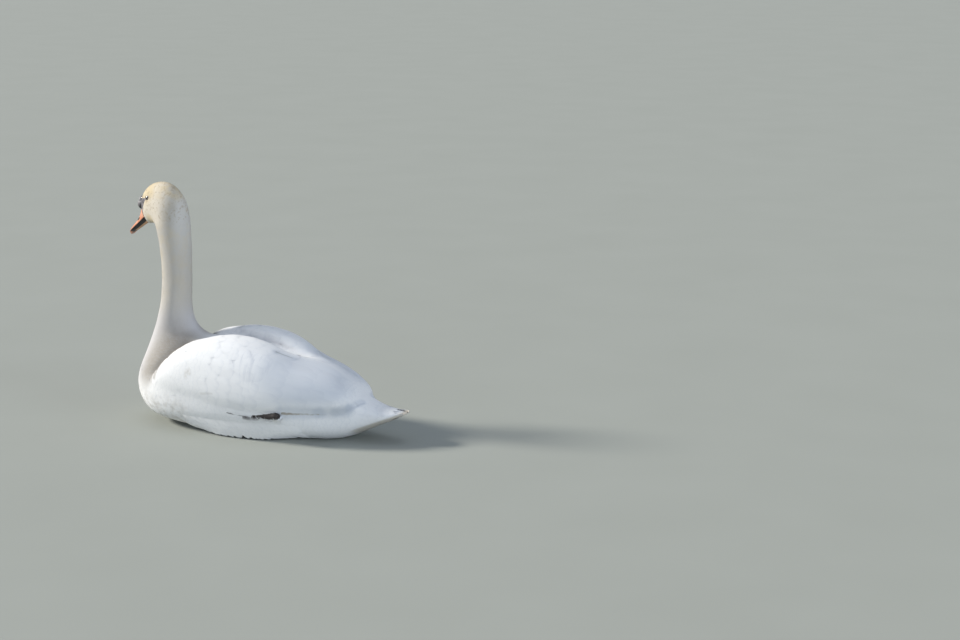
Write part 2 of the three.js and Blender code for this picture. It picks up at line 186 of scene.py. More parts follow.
# %% Material nodes
class Material:
    """A material whose nodes are added one by one."""

    def __init__(self, name):
        self.material = bpy.data.materials.new(name)
        self.material.use_nodes = True
        self.tree = self.material.node_tree
        self.shader = self.tree.nodes["Principled BSDF"]

    def plug(self, socket, value):
        if isinstance(value, Value):
            self.tree.links.new(value.socket, socket)
        else:
            socket.default_value = value

    def node(self, kind, settings=None, inputs=None, output=0):
        """Any node: its type, its settings, what its sockets are given, and the output wanted."""
        made = self.tree.nodes.new(kind)
        for key, value in (settings or {}).items():
            setattr(made, key, value)
        for key, value in (inputs or {}).items():
            self.plug(made.inputs[key], value)
        return Value(self, made.outputs[output])

    def set(self, **sockets):
        """Sockets of the shader itself, such as base_color for Base Color."""
        for key, value in sockets.items():
            self.plug(self.shader.inputs[key.replace("_", " ").title()], value)

    def place(self):
        return self.node("ShaderNodeTexCoord", output=3)  # Object coordinates

    def stored(self, name, output=2):
        """A number, or with output 1 a vector, that each point of the mesh carries."""
        return self.node("ShaderNodeAttribute", {"attribute_name": name}, output=output)

    def vector(self, operation, inputs, output=0):
        return self.node("ShaderNodeVectorMath", {"operation": operation}, inputs, output)

    def split(self, vector):
        made = self.tree.nodes.new("ShaderNodeSeparateXYZ")
        self.plug(made.inputs[0], vector)
        return [Value(self, made.outputs[k]) for k in range(3)]

    def mix(self, share, first, second):
        """Two colours mixed. In a Mix node 6, 7 and 2 are the sockets for colour."""
        return self.node("ShaderNodeMix", {"data_type": "RGBA"}, {0: share, 6: first, 7: second}, 2)

    def step(self, value, low, high):
        """0 below low and 1 above high, smoothly."""
        ends = {"Value": value, "From Min": low, "From Max": high}
        return self.node("ShaderNodeMapRange", {"interpolation_type": "SMOOTHSTEP"}, ends)

    def noise(self, vector, scale, detail=2.0, roughness=0.5):
        inputs = {"Vector": vector, "Scale": scale, "Detail": detail, "Roughness": roughness}
        return self.node("ShaderNodeTexNoise", {}, inputs)

    def stretched(self, vector, scale):
        inputs = {"Vector": vector, "Scale": scale}
        return self.node("ShaderNodeMapping", {"vector_type": "POINT"}, inputs)

    def spot(self, vector, centre, radii):
        """1 at the centre of an ellipsoid, 0 at its surface and beyond."""
        near = self.vector("SUBTRACT", {0: vector, 1: centre})
        scaled = self.vector("MULTIPLY", {0: near, 1: tuple(1 / radius for radius in radii)})
        return (1 - self.vector("LENGTH", {0: scaled}, output=1)).clamped()

    def beside(self, vector, start, end):
        """How far places lie from a straight line between two points."""
        whole = [b - a for a, b in zip(start, end)]
        length = math.sqrt(sum(part * part for part in whole))
        way = tuple(part / length for part in whole)
        near = self.vector("SUBTRACT", {0: vector, 1: start})
        reach = self.vector("DOT_PRODUCT", {0: near, 1: way}, output=1)
        reach = self.node("ShaderNodeClamp", {}, {"Value": reach, "Min": 0.0, "Max": length})
        foot = self.vector("SCALE", {0: way, "Scale": reach})
        return self.vector("LENGTH", {0: self.vector("SUBTRACT", {0: near, 1: foot})}, output=1)

    def flipped(self, vector):
        """The place seen on the swan's right side, so that one mark serves both sides."""
        x, y, z = self.split(vector)
        return self.node("ShaderNodeCombineXYZ", {}, {0: x, 1: y.abs(), 2: z})

    def bump(self, height, distance, strength):
        inputs = {"Height": height, "Distance": distance, "Strength": strength}
        return self.node("ShaderNodeBump", {}, inputs)


# %% [markdown]
# The floor is plain studio paper. Only a faint mottle keeps it from being a single colour.

# %% Floor paper
FLOOR_DARK, FLOOR_LIGHT = (0.335, 0.352, 0.322, 1), (0.360, 0.378, 0.348, 1)

floor_paint = Material("floor_paper")
mottle = floor_paint.noise(floor_paint.place(), 3.0)
floor_paint.set(base_color=floor_paint.mix(mottle, FLOOR_DARK, FLOOR_LIGHT), roughness=0.9)
floor.data.materials.append(floor_paint.material)
print("floor:", FLOOR_SIZE, "m of", floor_paint.material.name)

# %% [markdown]
# The flesh of the real bird is one body under one skin. Its solids are copied, swollen by a hair
# so that the thin cuts between them close, and joined by a voxel remesh into one closed surface.
# That surface runs through the tips of the feathers, so here it is called the envelope.

# %% Envelope
FLESH = ["tail", "trunk", "neck_lower", "neck_middle", "neck_upper", "head"]
FLESH += ["scapulars_left", "scapulars_right", "wing_left", "wing_right"]
CLOSE_CUTS = 1.6 * MM
VOXEL = 3.8 * MM
WELD = 0.02 * MM  # points of a node nearer to each other than this are one


def apply_modifiers(item):
    select_only(item)
    for modifier in list(item.modifiers):
        bpy.ops.object.modifier_apply(modifier=modifier.name)


def merged_copy(names, name):
    """One object that holds copies of CAD nodes, with their loose triangles merged."""
    copies = []
    for node_name in names:
        copy = nodes[node_name].copy()
        copy.data = nodes[node_name].data.copy()
        copy.parent = None
        for key in list(copy.keys()):
            del copy[key]
        bpy.context.scene.collection.objects.link(copy)
        copies.append(copy)
    select_only(*copies)
    bpy.ops.object.join()
    joined = bpy.context.object
    joined.name = name
    joined.data.materials.clear()
    bpy.ops.object.mode_set(mode="EDIT")
    bpy.ops.mesh.select_all(action="SELECT")
    bpy.ops.mesh.remove_doubles(threshold=WELD)
    bpy.ops.object.mode_set(mode="OBJECT")
    return joined


def read_all(members, key, width, kind=np.float32):
    """One property of all members of a collection, a row of numbers for each."""
    found = np.empty(len(members) * width, kind)
    members.foreach_get(key, found)
    return found.reshape(-1, width)


def coordinates(item):
    return read_all(item.data.vertices, "co", 3).astype(float)


def set_coordinates(item, places):
    item.data.vertices.foreach_set("co", places.astype(np.float32).ravel())
    item.data.update()


def add_modifier(item, kind, **settings):
    modifier = item.modifiers.new(kind.lower(), kind)
    for key, value in settings.items():
        setattr(modifier, key, value)


def choose_points(item, chosen):
    """Go into edit mode with the chosen points selected."""
    select_only(item)
    bpy.ops.object.mode_set(mode="EDIT")
    bpy.ops.mesh.select_mode(type="VERT")
    bpy.ops.mesh.select_all(action="DESELECT")
    bpy.ops.object.mode_set(mode="OBJECT")
    item.data.vertices.foreach_set("select", chosen)
    bpy.ops.object.mode_set(mode="EDIT")


skin = merged_copy(FLESH + ["eye_left", "eye_right"], "swan_skin")
add_modifier(skin, "DISPLACE", strength=CLOSE_CUTS, mid_level=0)
add_modifier(skin, "REMESH", mode="VOXEL", voxel_size=VOXEL)
add_modifier(skin, "SMOOTH", factor=0.5, iterations=3)
add_modifier(skin, "DISPLACE", strength=-CLOSE_CUTS, mid_level=0)
add_modifier(skin, "SMOOTH", factor=0.5, iterations=2)
apply_modifiers(skin)
heights = coordinates(skin)[:, 2]
choose_points(skin, np.arange(len(heights)) == heights.argmax())
bpy.ops.mesh.select_linked()
bpy.ops.mesh.select_all(action="INVERT")
bpy.ops.mesh.delete(type="VERT")  # closed hollows between the wings and the trunk
bpy.ops.object.mode_set(mode="OBJECT")
print("envelope:", len(skin.data.vertices), "points")

# %% [markdown]
# The face needs finer points than the body, most of all round the eyes. The lids are shaped over
# the eyeball: a rim of skin a little outside the ball, open in the form of an almond, with a
# crease about it. Inside the opening the skin dips under the ball's surface.

# %% Lids
HEAD_YAW = math.radians(14)  # the head looks to the swan's right
NECK_LINE_X = -253 * MM  # upright line about which the head and upper neck turn
EYE_RADIUS = 8 * MM
EYE_PLACE = (-318 * MM, 23.5 * MM, 572.5 * MM)  # the right eye, before the head's turn
EYE_SLANT = math.radians(45)  # how far the front corner looks down
LID = 0.6 * MM
OPENING = (5.5 * MM, 4.2 * MM)  # half its length and half its height
LID_REACH = 16 * MM  # how far from the eye's middle the skin is shaped over the ball
LID_END = 1.9  # the almond's number past which the face only ever gains height
CREASE_AT, CREASE_WIDTH = 1.55, 0.16  # by the almond's number
CREASE_DEPTH, CREASE_REACH = 0.7 * MM, 12 * MM
SOCKET = 0.7 * MM  # how far the skin dips under the ball inside the opening
FACE_X, FACE_Z = -292 * MM, 495 * MM  # ahead of and above these the head is cut finer


# %% Vectors and turns
def dot(a, b):
    return (a * b).sum(-1)


def unit(vectors):
    return vectors / np.maximum(np.linalg.norm(vectors, axis=-1, keepdims=True), 1e-12)


def smoothstep(value, low, high):
    share = np.clip((value - low) / (high - low), 0, 1)
    return share * share * (3 - 2 * share)


def turned_with_head(points, yaw):
    """Points turned about the upright line through the neck."""
    yaw = np.broadcast_to(yaw, points.shape[:-1])
    x = points[..., 0] - NECK_LINE_X
    y = points[..., 1]
    turned = points.copy()
    turned[..., 0] = x * np.cos(yaw) + y * np.sin(yaw) + NECK_LINE_X
    turned[..., 1] = -x * np.sin(yaw) + y * np.cos(yaw)
    return turned


def straightened(points):
    """Head points as they would be if the head looked straight ahead."""
    return turned_with_head(points, -HEAD_YAW)


# %% Finer faces
def cut_finer(item, chosen, cuts, calm):
    """Subdivide the chosen faces and smooth them."""
    select_only(item)
    bpy.ops.object.mode_set(mode="EDIT")
    bpy.ops.mesh.select_mode(type="FACE")
    bpy.ops.mesh.select_all(action="DESELECT")
    bpy.ops.object.mode_set(mode="OBJECT")
    item.data.polygons.foreach_set("select", chosen)
    bpy.ops.object.mode_set(mode="EDIT")
    bpy.ops.mesh.subdivide(number_cuts=cuts, smoothness=0.0)
    bpy.ops.mesh.vertices_smooth(factor=0.5, repeat=calm)
    bpy.ops.object.mode_set(mode="OBJECT")


def face_centres(item):
    return read_all(item.data.polygons, "center", 3).astype(float)


# %% Eye measure
def eye_frame(side):
    """The eye's centre, and its three directions: to the front corner, across, and outward."""
    centre = turned_with_head(np.array([EYE_PLACE]) * (1, side, 1), HEAD_YAW)[0]
    outward = unit(np.array([-0.28, side * 1.0, 0.16]))
    front = np.array([-math.cos(EYE_SLANT), 0, -math.sin(EYE_SLANT)])
    front = unit(front - dot(front, outward) * outward)
    axes = np.array([front, side * np.cross(outward, front), outward])
    pivot = np.array([NECK_LINE_X, 0, 0])
    return centre, turned_with_head(axes + pivot, HEAD_YAW) - pivot


def almond(ahead, across):
    """1 on the rim of an eye's opening, less inside it."""
    radius = (OPENING[0] ** 2 + OPENING[1] ** 2) / (2 * OPENING[1])
    return np.hypot(ahead, np.abs(across) + radius - OPENING[1]) / radius


def eye_measure(points, side):
    """How far points are from an eye: the almond's number, and the place in the eye's frame."""
    centre, axes = eye_frame(side)
    local = (points - centre) @ axes.T
    value = almond(local[:, 0], local[:, 1])
    value[local[:, 2] < 0] = 9
    return value, local


# %% Shape the lids
centres = straightened(face_centres(skin))
cut_finer(skin, (centres[:, 0] < FACE_X) & (centres[:, 2] > FACE_Z), 1, 3)
for reach in (19 * MM, 14 * MM):
    centres = face_centres(skin)
    near = [np.linalg.norm(centres - eye_frame(side)[0], axis=1) < reach for _, side in SIDES]
    cut_finer(skin, near[0] | near[1], 1, 2)
places = coordinates(skin)
for _, side in SIDES:
    value, local = eye_measure(places, side)
    out = np.hypot(local[:, 0], local[:, 1])
    near = (out < LID_REACH) & (local[:, 2] > -2 * MM)
    ball = np.sqrt(np.maximum((EYE_RADIUS + LID) ** 2 - out**2, 0))
    crease = CREASE_DEPTH * np.exp(-(((value - CREASE_AT) / CREASE_WIDTH) ** 2))
    over = np.maximum(local[:, 2], ball) - crease * (out < CREASE_REACH)
    under = np.sqrt(np.maximum((EYE_RADIUS - SOCKET) ** 2 - out**2, 0))
    height = under + smoothstep(value, 1.0, 1.10) * (over - under)
    height = np.where(value > LID_END, np.maximum(local[:, 2], over), height)
    local[near, 2] = height[near]
    centre, axes = eye_frame(side)
    places[near] = centre + local[near] @ axes
set_coordinates(skin, places)
print("envelope with lids:", len(skin.data.vertices), "points")

# %% [markdown]
# What is fitted to the envelope later asks it three things: where its surface lies nearest, where
# a line from outside meets it, and what value a field has there. A field is one number or one
# direction for each point of the mesh, such as the lie of the feathers.

# %% Surface
class Surface:
    """A triangle mesh that answers questions about places on it."""

    def __init__(self, item):
        mesh = item.data
        mesh.calc_loop_triangles()
        self.places = coordinates(item)
        self.triangles = read_all(mesh.loop_triangles, "vertices", 3, np.int64)
        self.loops = read_all(mesh.loop_triangles, "loops", 3, np.int64)
        self.normals = read_all(mesh.vertex_normals, "vector", 3).astype(float)
        self.edges = read_all(mesh.edges, "vertices", 2, np.int64)
        self.tree = BVHTree.FromPolygons(self.places.tolist(), self.triangles.tolist())

    def spots(self, found, points):
        """Triangles and the shares of their corners at the places found."""
        faces = np.array([hit[2] if hit[2] is not None else 0 for hit in found])
        hits = [tuple(hit[0]) if hit[0] is not None else tuple(p) for hit, p in zip(found, points)]
        places = np.array(hits, float).reshape(-1, 3)
        a, b, c = (self.places[self.triangles[faces, k]] for k in range(3))
        ab, ac, ap = b - a, c - a, places - a
        d00, d01, d11 = dot(ab, ab), dot(ab, ac), dot(ac, ac)
        d20, d21 = dot(ap, ab), dot(ap, ac)
        spread = np.maximum(d00 * d11 - d01 * d01, 1e-18)
        v = (d11 * d20 - d01 * d21) / spread
        w = (d00 * d21 - d01 * d20) / spread
        shares = np.clip(np.stack([1 - v - w, v, w], 1), 0, 1)
        shares /= shares.sum(1, keepdims=True)
        return places, faces, shares

    def nearest(self, points):
        find = self.tree.find_nearest
        return self.spots([find(p) for p in points.tolist()], points)

    def seen_from(self, points, directions):
        """Where lines from outside first meet the surface, and which of them do."""
        cast = self.tree.ray_cast
        found = [cast(p, d) for p, d in zip(points.tolist(), directions.tolist())]
        met = np.array([hit[0] is not None for hit in found])
        return (*self.spots(found, points), met)

    def field(self, values, faces, shares):
        corners = values[self.triangles[faces]]
        return np.einsum("ij,ij...->i...", shares, corners)

    def smoothed(self, values, rounds):
        """A field with its small steps averaged away."""
        values = values.astype(float).copy()
        count = np.bincount(self.edges.ravel(), minlength=len(self.places)).astype(float)
        shape = (-1,) + (1,) * (values.ndim - 1)
        for _ in range(rounds):
            total = np.zeros_like(values)
            np.add.at(total, self.edges[:, 0], values[self.edges[:, 1]])
            np.add.at(total, self.edges[:, 1], values[self.edges[:, 0]])
            values = 0.4 * values + 0.6 * total / count.reshape(shape)
        return values


def flat_on(vectors, normals):
    """The directions turned into the surface's plane."""
    return unit(vectors - dot(vectors, normals)[..., None] * normals)


# %% Calm envelope
HEAD_HEIGHT = (410 * MM, 470 * MM)  # between these the smoothing fades out towards the head
GROUND_HEIGHT = (0, 9 * MM)  # and between these towards the flat belly
CALM_ROUNDS = 27


def calmed(surface, rounds):
    """Places with the solids' facets smoothed away, except on the head and the flat belly."""
    places = surface.places
    calm = surface.smoothed(places, rounds)
    share = 1 - smoothstep(places[:, 2], *HEAD_HEIGHT)
    share = share * smoothstep(places[:, 2], *GROUND_HEIGHT)
    return places + share[:, None] * (calm - places)


set_coordinates(skin, calmed(Surface(skin), CALM_ROUNDS))
envelope = Surface(skin)
print("envelope triangles:", len(envelope.triangles))

# %% [markdown]
# Each point of the envelope belongs to the nearest solid, such as a wing or the neck. The lie of
# the feathers follows one line through the body, from the bill to the tail's tip. On the wings it
# follows lines that start at the shoulder and draw together at the wing's tip. Ahead of the
# shoulder the neck's base sinks in, so that the folded wing stands out over it in a clear edge.

# %% Parts of the body
SPINE = [  # x and z in mm, from the tail's tip to the bill, before the head's turn
    (404, 76), (260, 61), (111, 88), (-128, 108), (-236, 118), (-266, 137), (-283, 164),
    (-284, 195), (-276, 230), (-265, 273), (-253, 326), (-249, 377), (-248, 425), (-252, 465),
    (-256, 497), (-260, 518), (-272, 544), (-297, 558), (-326, 555), (-347, 540), (-352, 531),
]
HEAD_STARTS = 13  # place on the spine where the head's turn is half done
TAIL_DROP = 6 * MM  # how far the tail's back lies under the solid near the tip
TUCK = 11 * MM  # how far the neck's base sinks in under the folded wing's shoulder
PULL = 10  # how strongly a place follows the part of the spine that is nearest


def spine_line(steps=8):
    """Points along the spine and its directions towards the tail."""
    rows = np.array([(x, 0, z) for x, z in SPINE], float) * MM
    marks = np.arange(len(rows))
    fine = np.linspace(0, len(rows) - 1, steps * len(rows))
    line = np.stack([np.interp(fine, marks, rows[:, k]) for k in range(3)], 1)
    for _ in range(steps):
        line[1:-1] = (line[:-2] + 2 * line[1:-1] + line[2:]) / 4
    yaw = HEAD_YAW * smoothstep(fine, HEAD_STARTS - 3, HEAD_STARTS + 3)
    line = turned_with_head(line, yaw)
    return line, unit(np.gradient(-line, axis=0)), fine


def nearest_node(points, names):
    """For each point, which of the named nodes lies nearest."""
    best = np.full(len(points), np.inf)
    owner = np.zeros(len(points), int)
    for index, name in enumerate(names):
        mesh = nodes[name].data
        mesh.calc_loop_triangles()
        corners = [tuple(t.vertices) for t in mesh.loop_triangles]
        tree = BVHTree.FromPolygons(coordinates(nodes[name]).tolist(), corners)
        far = np.array([tree.find_nearest(p)[3] for p in points.tolist()])
        closer = far < best
        best[closer] = far[closer]
        owner[closer] = index
    return owner


# %% Tuck and lie
spine, spine_way, spine_place = spine_line()
owner = nearest_node(envelope.places, FLESH)
on_wing = {side: owner == FLESH.index("wing_" + side) for side, _ in SIDES}
on_side = {side: on_wing[side] | (owner == FLESH.index("scapulars_" + side)) for side in on_wing}
on_tail = owner == FLESH.index("tail")
folded = on_side["left"] | on_side["right"]
x, y, z = envelope.places.T
tuck = envelope.smoothed(folded, 40) * ~folded
tuck *= (1 - smoothstep(x, -190 * MM, -150 * MM)) * smoothstep(z, 118 * MM, 150 * MM)
tuck *= 2 * (1 - smoothstep(z, 220 * MM, 248 * MM)) * smoothstep(np.abs(y), 30 * MM, 55 * MM)
moved = envelope.places - TUCK * tuck[:, None] * envelope.normals
thin = smoothstep(x, 290 * MM, 335 * MM) * np.interp(x, (0.375, 0.390, 0.404), (1, 0.85, 0.3))
moved[:, 2] -= TAIL_DROP * thin * np.clip(envelope.normals[:, 2], 0, 1)
set_coordinates(skin, moved)
envelope = Surface(skin)
away = np.linalg.norm(envelope.places[:, None] - spine[None], axis=2)
pull = (away.min(1, keepdims=True) / away) ** PULL
pull /= pull.sum(1, keepdims=True)
lie = pull @ spine_way
body_place = pull @ spine_place
print("points by part:", dict(zip(FLESH, np.bincount(owner).tolist())))

# %% [markdown]
# A folded wing is measured by its own two numbers: how far back along it a place lies, from 0 at
# the wrist to 1 at the tip, and how far up and over, from 0 at the lower edge to 1 at the inner
# edge on the back. Lines towards an axis inside the wing find the surface for any pair of these.

# %% Wing measure
WING_FRONT, WING_TIP = -264 * MM, 276 * MM
AXIS_OUT = (46 * MM, 20 * MM)  # how far out the axis lies, at the wrist and at the tip
AXIS_SHARE = 0.4  # how high it lies between the wing's lowest and highest place
SLICE = 22 * MM  # half the thickness of the slices in which a wing's edges are looked up
START_OUT = 0.45  # how far outside the axis a line towards the surface starts, in metres


class WingMeasure:
    """Places on one folded wing, by how far back and how far up and over they lie."""

    def __init__(self, side):
        self.sign = -1 if side == "left" else 1
        places = coordinates(nodes["wing_" + side])
        marks = np.linspace(WING_FRONT, WING_TIP, 19)
        lows, highs, low_outs = [], [], []
        for mark in marks:
            near = places[np.abs(places[:, 0] - mark) < SLICE]
            outer = near[np.abs(near[:, 1]) > 0.5 * np.abs(near[:, 1]).max()]
            lowest = outer[outer[:, 2].argmin()]
            lows.append(lowest[2])
            low_outs.append(abs(lowest[1]))
            highs.append(near[:, 2].max())
        fit = lambda values, degree: np.polynomial.Polynomial.fit(marks, values, degree)
        self.low, self.high, self.low_out = fit(lows, 5), fit(highs, 6), fit(low_outs, 5)

    def axis(self, x):
        back = (x - WING_FRONT) / (WING_TIP - WING_FRONT)
        out = AXIS_OUT[0] + (AXIS_OUT[1] - AXIS_OUT[0]) * back
        z = self.low(x) + AXIS_SHARE * (self.high(x) - self.low(x))
        return np.stack([x, self.sign * out, z], -1)

    def angles(self, x):
        """Angles above level, seen along the body, of the lower edge and of the inner edge."""
        centre = self.axis(x)
        low = np.arctan2(self.low(x) - centre[..., 2], self.low_out(x) - np.abs(centre[..., 1]))
        over = np.arctan2(0.92 * (self.high(x) - centre[..., 2]), -np.abs(centre[..., 1]))
        return low, over

    def lines(self, back, up):
        x = WING_FRONT + np.asarray(back) * (WING_TIP - WING_FRONT)
        low, over = self.angles(x)
        angle = low + np.asarray(up) * (over - low)
        outward = np.stack([0 * x, self.sign * np.cos(angle), np.sin(angle)], -1)
        return self.axis(x) + START_OUT * outward, -outward

    def at(self, back, up):
        return envelope.seen_from(*self.lines(back, up))

    def measure(self, points):
        """back and up for points on the wing."""
        centre = self.axis(points[:, 0])
        low, over = self.angles(points[:, 0])
        out = self.sign * points[:, 1] - np.abs(centre[:, 1])
        angle = np.arctan2(points[:, 2] - centre[:, 2], out)
        angle = np.where(angle < -np.pi / 2, angle + 2 * np.pi, angle)
        back = (points[:, 0] - WING_FRONT) / (WING_TIP - WING_FRONT)
        return back, (angle - low) / (over - low)


# %% Lie on the wings
STEP_BACK = 0.03

wings = {side: WingMeasure(side) for side in on_wing}
for side, wing in wings.items():
    there = np.flatnonzero(on_side[side])
    back, up = wing.measure(envelope.places[there])
    up = np.clip(up, 0.0, 1.0)
    behind, *_ = wing.at(np.clip(back + STEP_BACK, 0, 1.02), up)
    ahead, *_ = wing.at(np.clip(back - STEP_BACK, 0, 1.0), up)
    way = unit(behind - ahead)
    way[way[:, 0] < 0.3] = (1, 0, 0)
    way[:, 2] = np.clip(way[:, 2], -0.75, 0.35)
    lie[there] = unit(way)
lie = flat_on(envelope.smoothed(flat_on(lie, envelope.normals), 12), envelope.normals)
print("wing length:", round((WING_TIP - WING_FRONT) / MM), "mm")

# %% [markdown]
# The skin itself lies under the coat. It is the envelope moved in by the coat's depth: next to
# nothing on the face, several millimetres on the neck and more on the breast. Where the body is
# thin, as at the wing's tip, the depth is held to a share of the thickness.

# %% Skin
COAT_DEPTH = {"face": 0.6, "head": 1.0, "neck": 2.0, "trunk": 4.5, "wing": 4.0, "tail": 2.5}
NECK_FROM, HEAD_FROM = 8, 14.5  # places on the spine where these depths begin
THICKNESS_SHARE = 0.3
LORE = np.array([(-322, 574), (-366, 564), (-349, 514)]) * MM  # x and z, before the head's turn
LORE_BOW = 4.5 * MM  # how far the cheek's feathers bulge into it


def lore_measure(points):
    """How far inside the bare triangle between eye and bill points are, in metres."""
    flat = straightened(points)[:, [0, 2]]
    far = np.abs(straightened(points)[:, 1]) - 5 * MM
    for start, end, bow in zip(LORE, np.roll(LORE, -1, axis=0), (0, 0, LORE_BOW)):
        along = unit(end - start)
        inner = np.array([-along[1], along[0]])
        share = np.clip((flat - start) @ along / np.linalg.norm(end - start), 0, 1)
        far = np.minimum(far, (flat - start) @ inner - bow * np.sin(math.pi * share))
    return far


# %% Bare skin and depth
lore = lore_measure(envelope.places)
bare = smoothstep(lore, -1.2 * MM, 1.2 * MM)
for _, side in SIDES:
    value, local = eye_measure(envelope.places, side)
    near = np.hypot(local[:, 0], local[:, 1]) < CREASE_REACH
    bare = np.maximum(bare, near * (1 - smoothstep(value, 1.22, 1.40)))

face_front = straightened(envelope.places)[:, 0] < -312 * MM
depth = np.full(len(envelope.places), COAT_DEPTH["trunk"])
depth[body_place > NECK_FROM] = COAT_DEPTH["neck"]
depth[body_place > HEAD_FROM] = COAT_DEPTH["head"]
depth[(body_place > HEAD_FROM) & face_front] = COAT_DEPTH["face"]
depth[folded] = COAT_DEPTH["wing"]
depth[on_tail] = COAT_DEPTH["tail"]
depth = envelope.smoothed(depth * MM, 20)
inward = -envelope.normals
starts = (envelope.places + 0.3 * MM * inward).tolist()
hits = [envelope.tree.ray_cast(*line) for line in zip(starts, inward.tolist())]
across = np.array([1.0 if hit[3] is None else hit[3] for hit in hits])  # to the other side
depth = np.minimum(depth, THICKNESS_SHARE * across)
underside = smoothstep(envelope.places[:, 2], 2 * MM, 12 * MM)
depth *= 0.15 + 0.85 * underside
depth = envelope.smoothed(depth, 4) * (1 - 0.85 * bare)
set_coordinates(skin, envelope.places + depth[:, None] * inward)
for name, values in (("bare", bare), ("wing", envelope.smoothed(folded, 1))):
    attribute = skin.data.attributes.new(name, "FLOAT", "POINT")
    attribute.data.foreach_set("value", values.astype(np.float32))
print("coat depth in mm: least", round(depth.min() / MM, 2), "most", round(depth.max() / MM, 2))

# %% [markdown]
# The skin is unwrapped once. Its map is called OFBake, and later each feather gets a small patch
# of it at the place of its own root.

# %% Unwrap
select_only(skin)
bpy.ops.object.mode_set(mode="EDIT")
bpy.ops.mesh.select_all(action="SELECT")
bpy.ops.uv.smart_project(angle_limit=math.radians(60), island_margin=0.004)
bpy.ops.object.mode_set(mode="OBJECT")
skin.data.uv_layers[0].name = "OFBake"
skin_uv = read_all(skin.data.uv_layers["OFBake"].data, "uv", 2)
print("corners on the unwrap:", len(skin_uv))

# %% [markdown]
# White plumage is never one white. On the real bird the head and neck are creamy with rusty flecks
# from feeding in muddy water, the breast is grubby near the ground, and the back is clean and
# cool. Shade and light are painted in as well: painted shade on the breast, in the creases between
# the feather groups and on the wing's lee side, painted light on the face and nape, and a painted
# sheen on the bare skin. The skin and every feather read the same place on the body, so they carry
# the same markings.

# %% Plumage
WHITE = (0.86, 0.865, 0.875, 1)
CREAM = (0.475, 0.432, 0.366, 1)
# painted light: the face paler where the sun falls on it
FACE_LIT_CREAM = (0.72, 0.645, 0.535, 1)
# painted shade on the breast and the neck's base
NECK_BASE_SHADE = (0.32, 0.285, 0.245, 1)
BREAST_SHADE = (0.56, 0.545, 0.55, 1)
OCHRE = (0.62, 0.49, 0.27, 1)
FLECK = (0.40, 0.31, 0.19, 1)
# real dirt on the breast and shoulder, and painted shade behind the eye
GRIME_AND_SHADE = (0.44, 0.41, 0.36, 1)
# painted shade in the fold ahead of the wing's shoulder
FOLD_SHADE = (0.37, 0.345, 0.325, 1)
# partly real dirt and partly painted shade under the tail
TAIL_DIRT_AND_SHADE = (0.42, 0.37, 0.28, 1)
# painted shadow in the seam under the wing's edge and in a crease on the breast's side
SEAM_SHADOW = (0.28, 0.23, 0.16, 1)
# painted shadow in the slit between wing and belly by the leg
SLIT_SHADOW = (0.07, 0.055, 0.05, 1)
# painted shadow under the scapulars' rear edge
SLIT_OLIVE_SHADOW = (0.16, 0.15, 0.08, 1)
# painted shade, in bands and in streaks
STREAK_SHADE = (0.52, 0.55, 0.62, 1)
SHADE_BLUE = (0.40, 0.46, 0.56, 1)
TONE_GREY = (0.60, 0.60, 0.60, 1)
BARB_GREY = (0.55, 0.56, 0.60, 1)
# painted shadow along each vane's tip
TIP_SHADOW = (0.50, 0.54, 0.62, 1)
LORE_BLACK = (0.085, 0.077, 0.083, 1)
# painted sheen on the black bare skin
LORE_SHEEN = (0.27, 0.25, 0.27, 1)
CREASE_SHADES = [  # ends in mm, width, strength, colour: painted shade in the gaps between the groups of feathers
    # painted shade along the wing's lower edge
    ((118, 136, 82), (200, 99, 84), 26.0, 0.38, SHADE_BLUE),
    ((200, 99, 84), (262, 66, 84), 24.0, 0.34, SHADE_BLUE),
    # painted shadow in the seam under the wing's lower edge
    ((118, 136, 78.5), (200, 99, 78), 5.0, 0.80, SEAM_SHADOW),
    ((200, 99, 78), (252, 72, 75.5), 4.5, 0.75, SEAM_SHADOW),
    # painted shadow in the slit by the leg
    ((0, 149.5, 65), (46, 146.5, 62.5), 3.4, 1.0, SLIT_SHADOW),
    ((-30, 150, 69), (0, 149.5, 65), 2.6, 0.85, SLIT_SHADOW),
    ((16, 148, 60), (52, 146, 57), 7.0, 0.70, SLIT_SHADOW),
    # painted shade and shadow under the scapulars' rear edge
    ((62, 61, 214), (108, 50, 196), 12.0, 0.30, STREAK_SHADE),
    ((66, 61, 215), (106, 50, 197), 3.2, 0.40, SLIT_OLIVE_SHADOW),
    # painted shadow in a crease on the breast's side
    ((-100, 156, 113), (-66, 159, 117), 4.0, 0.15, SEAM_SHADOW),
    # painted shade in the fold ahead of the wing's shoulder
    ((-258, 124, 136), (-247, 111, 163), 14.0, 0.80, FOLD_SHADE),
    ((-247, 111, 163), (-230, 99, 191), 13.0, 0.80, FOLD_SHADE),
    ((-230, 99, 191), (-206, 78, 215), 11.0, 0.60, FOLD_SHADE),
    # painted shade and shadow along the wing's rear edge, over the tail
    ((240, 84, 84), (266, 68, 90), 20.0, 0.32, SHADE_BLUE),
    ((266, 66, 92), (288, 30, 99), 14.0, 0.32, SHADE_BLUE),
    ((252, 74, 76), (270, 68, 88), 4.0, 0.40, STREAK_SHADE),
    ((270, 68, 89), (292, 30, 97.5), 4.0, 0.45, STREAK_SHADE),
]
RUFFLE = (0.007, 0.004, 0.007)  # how far noise moves the creases, in metres along x, y and z


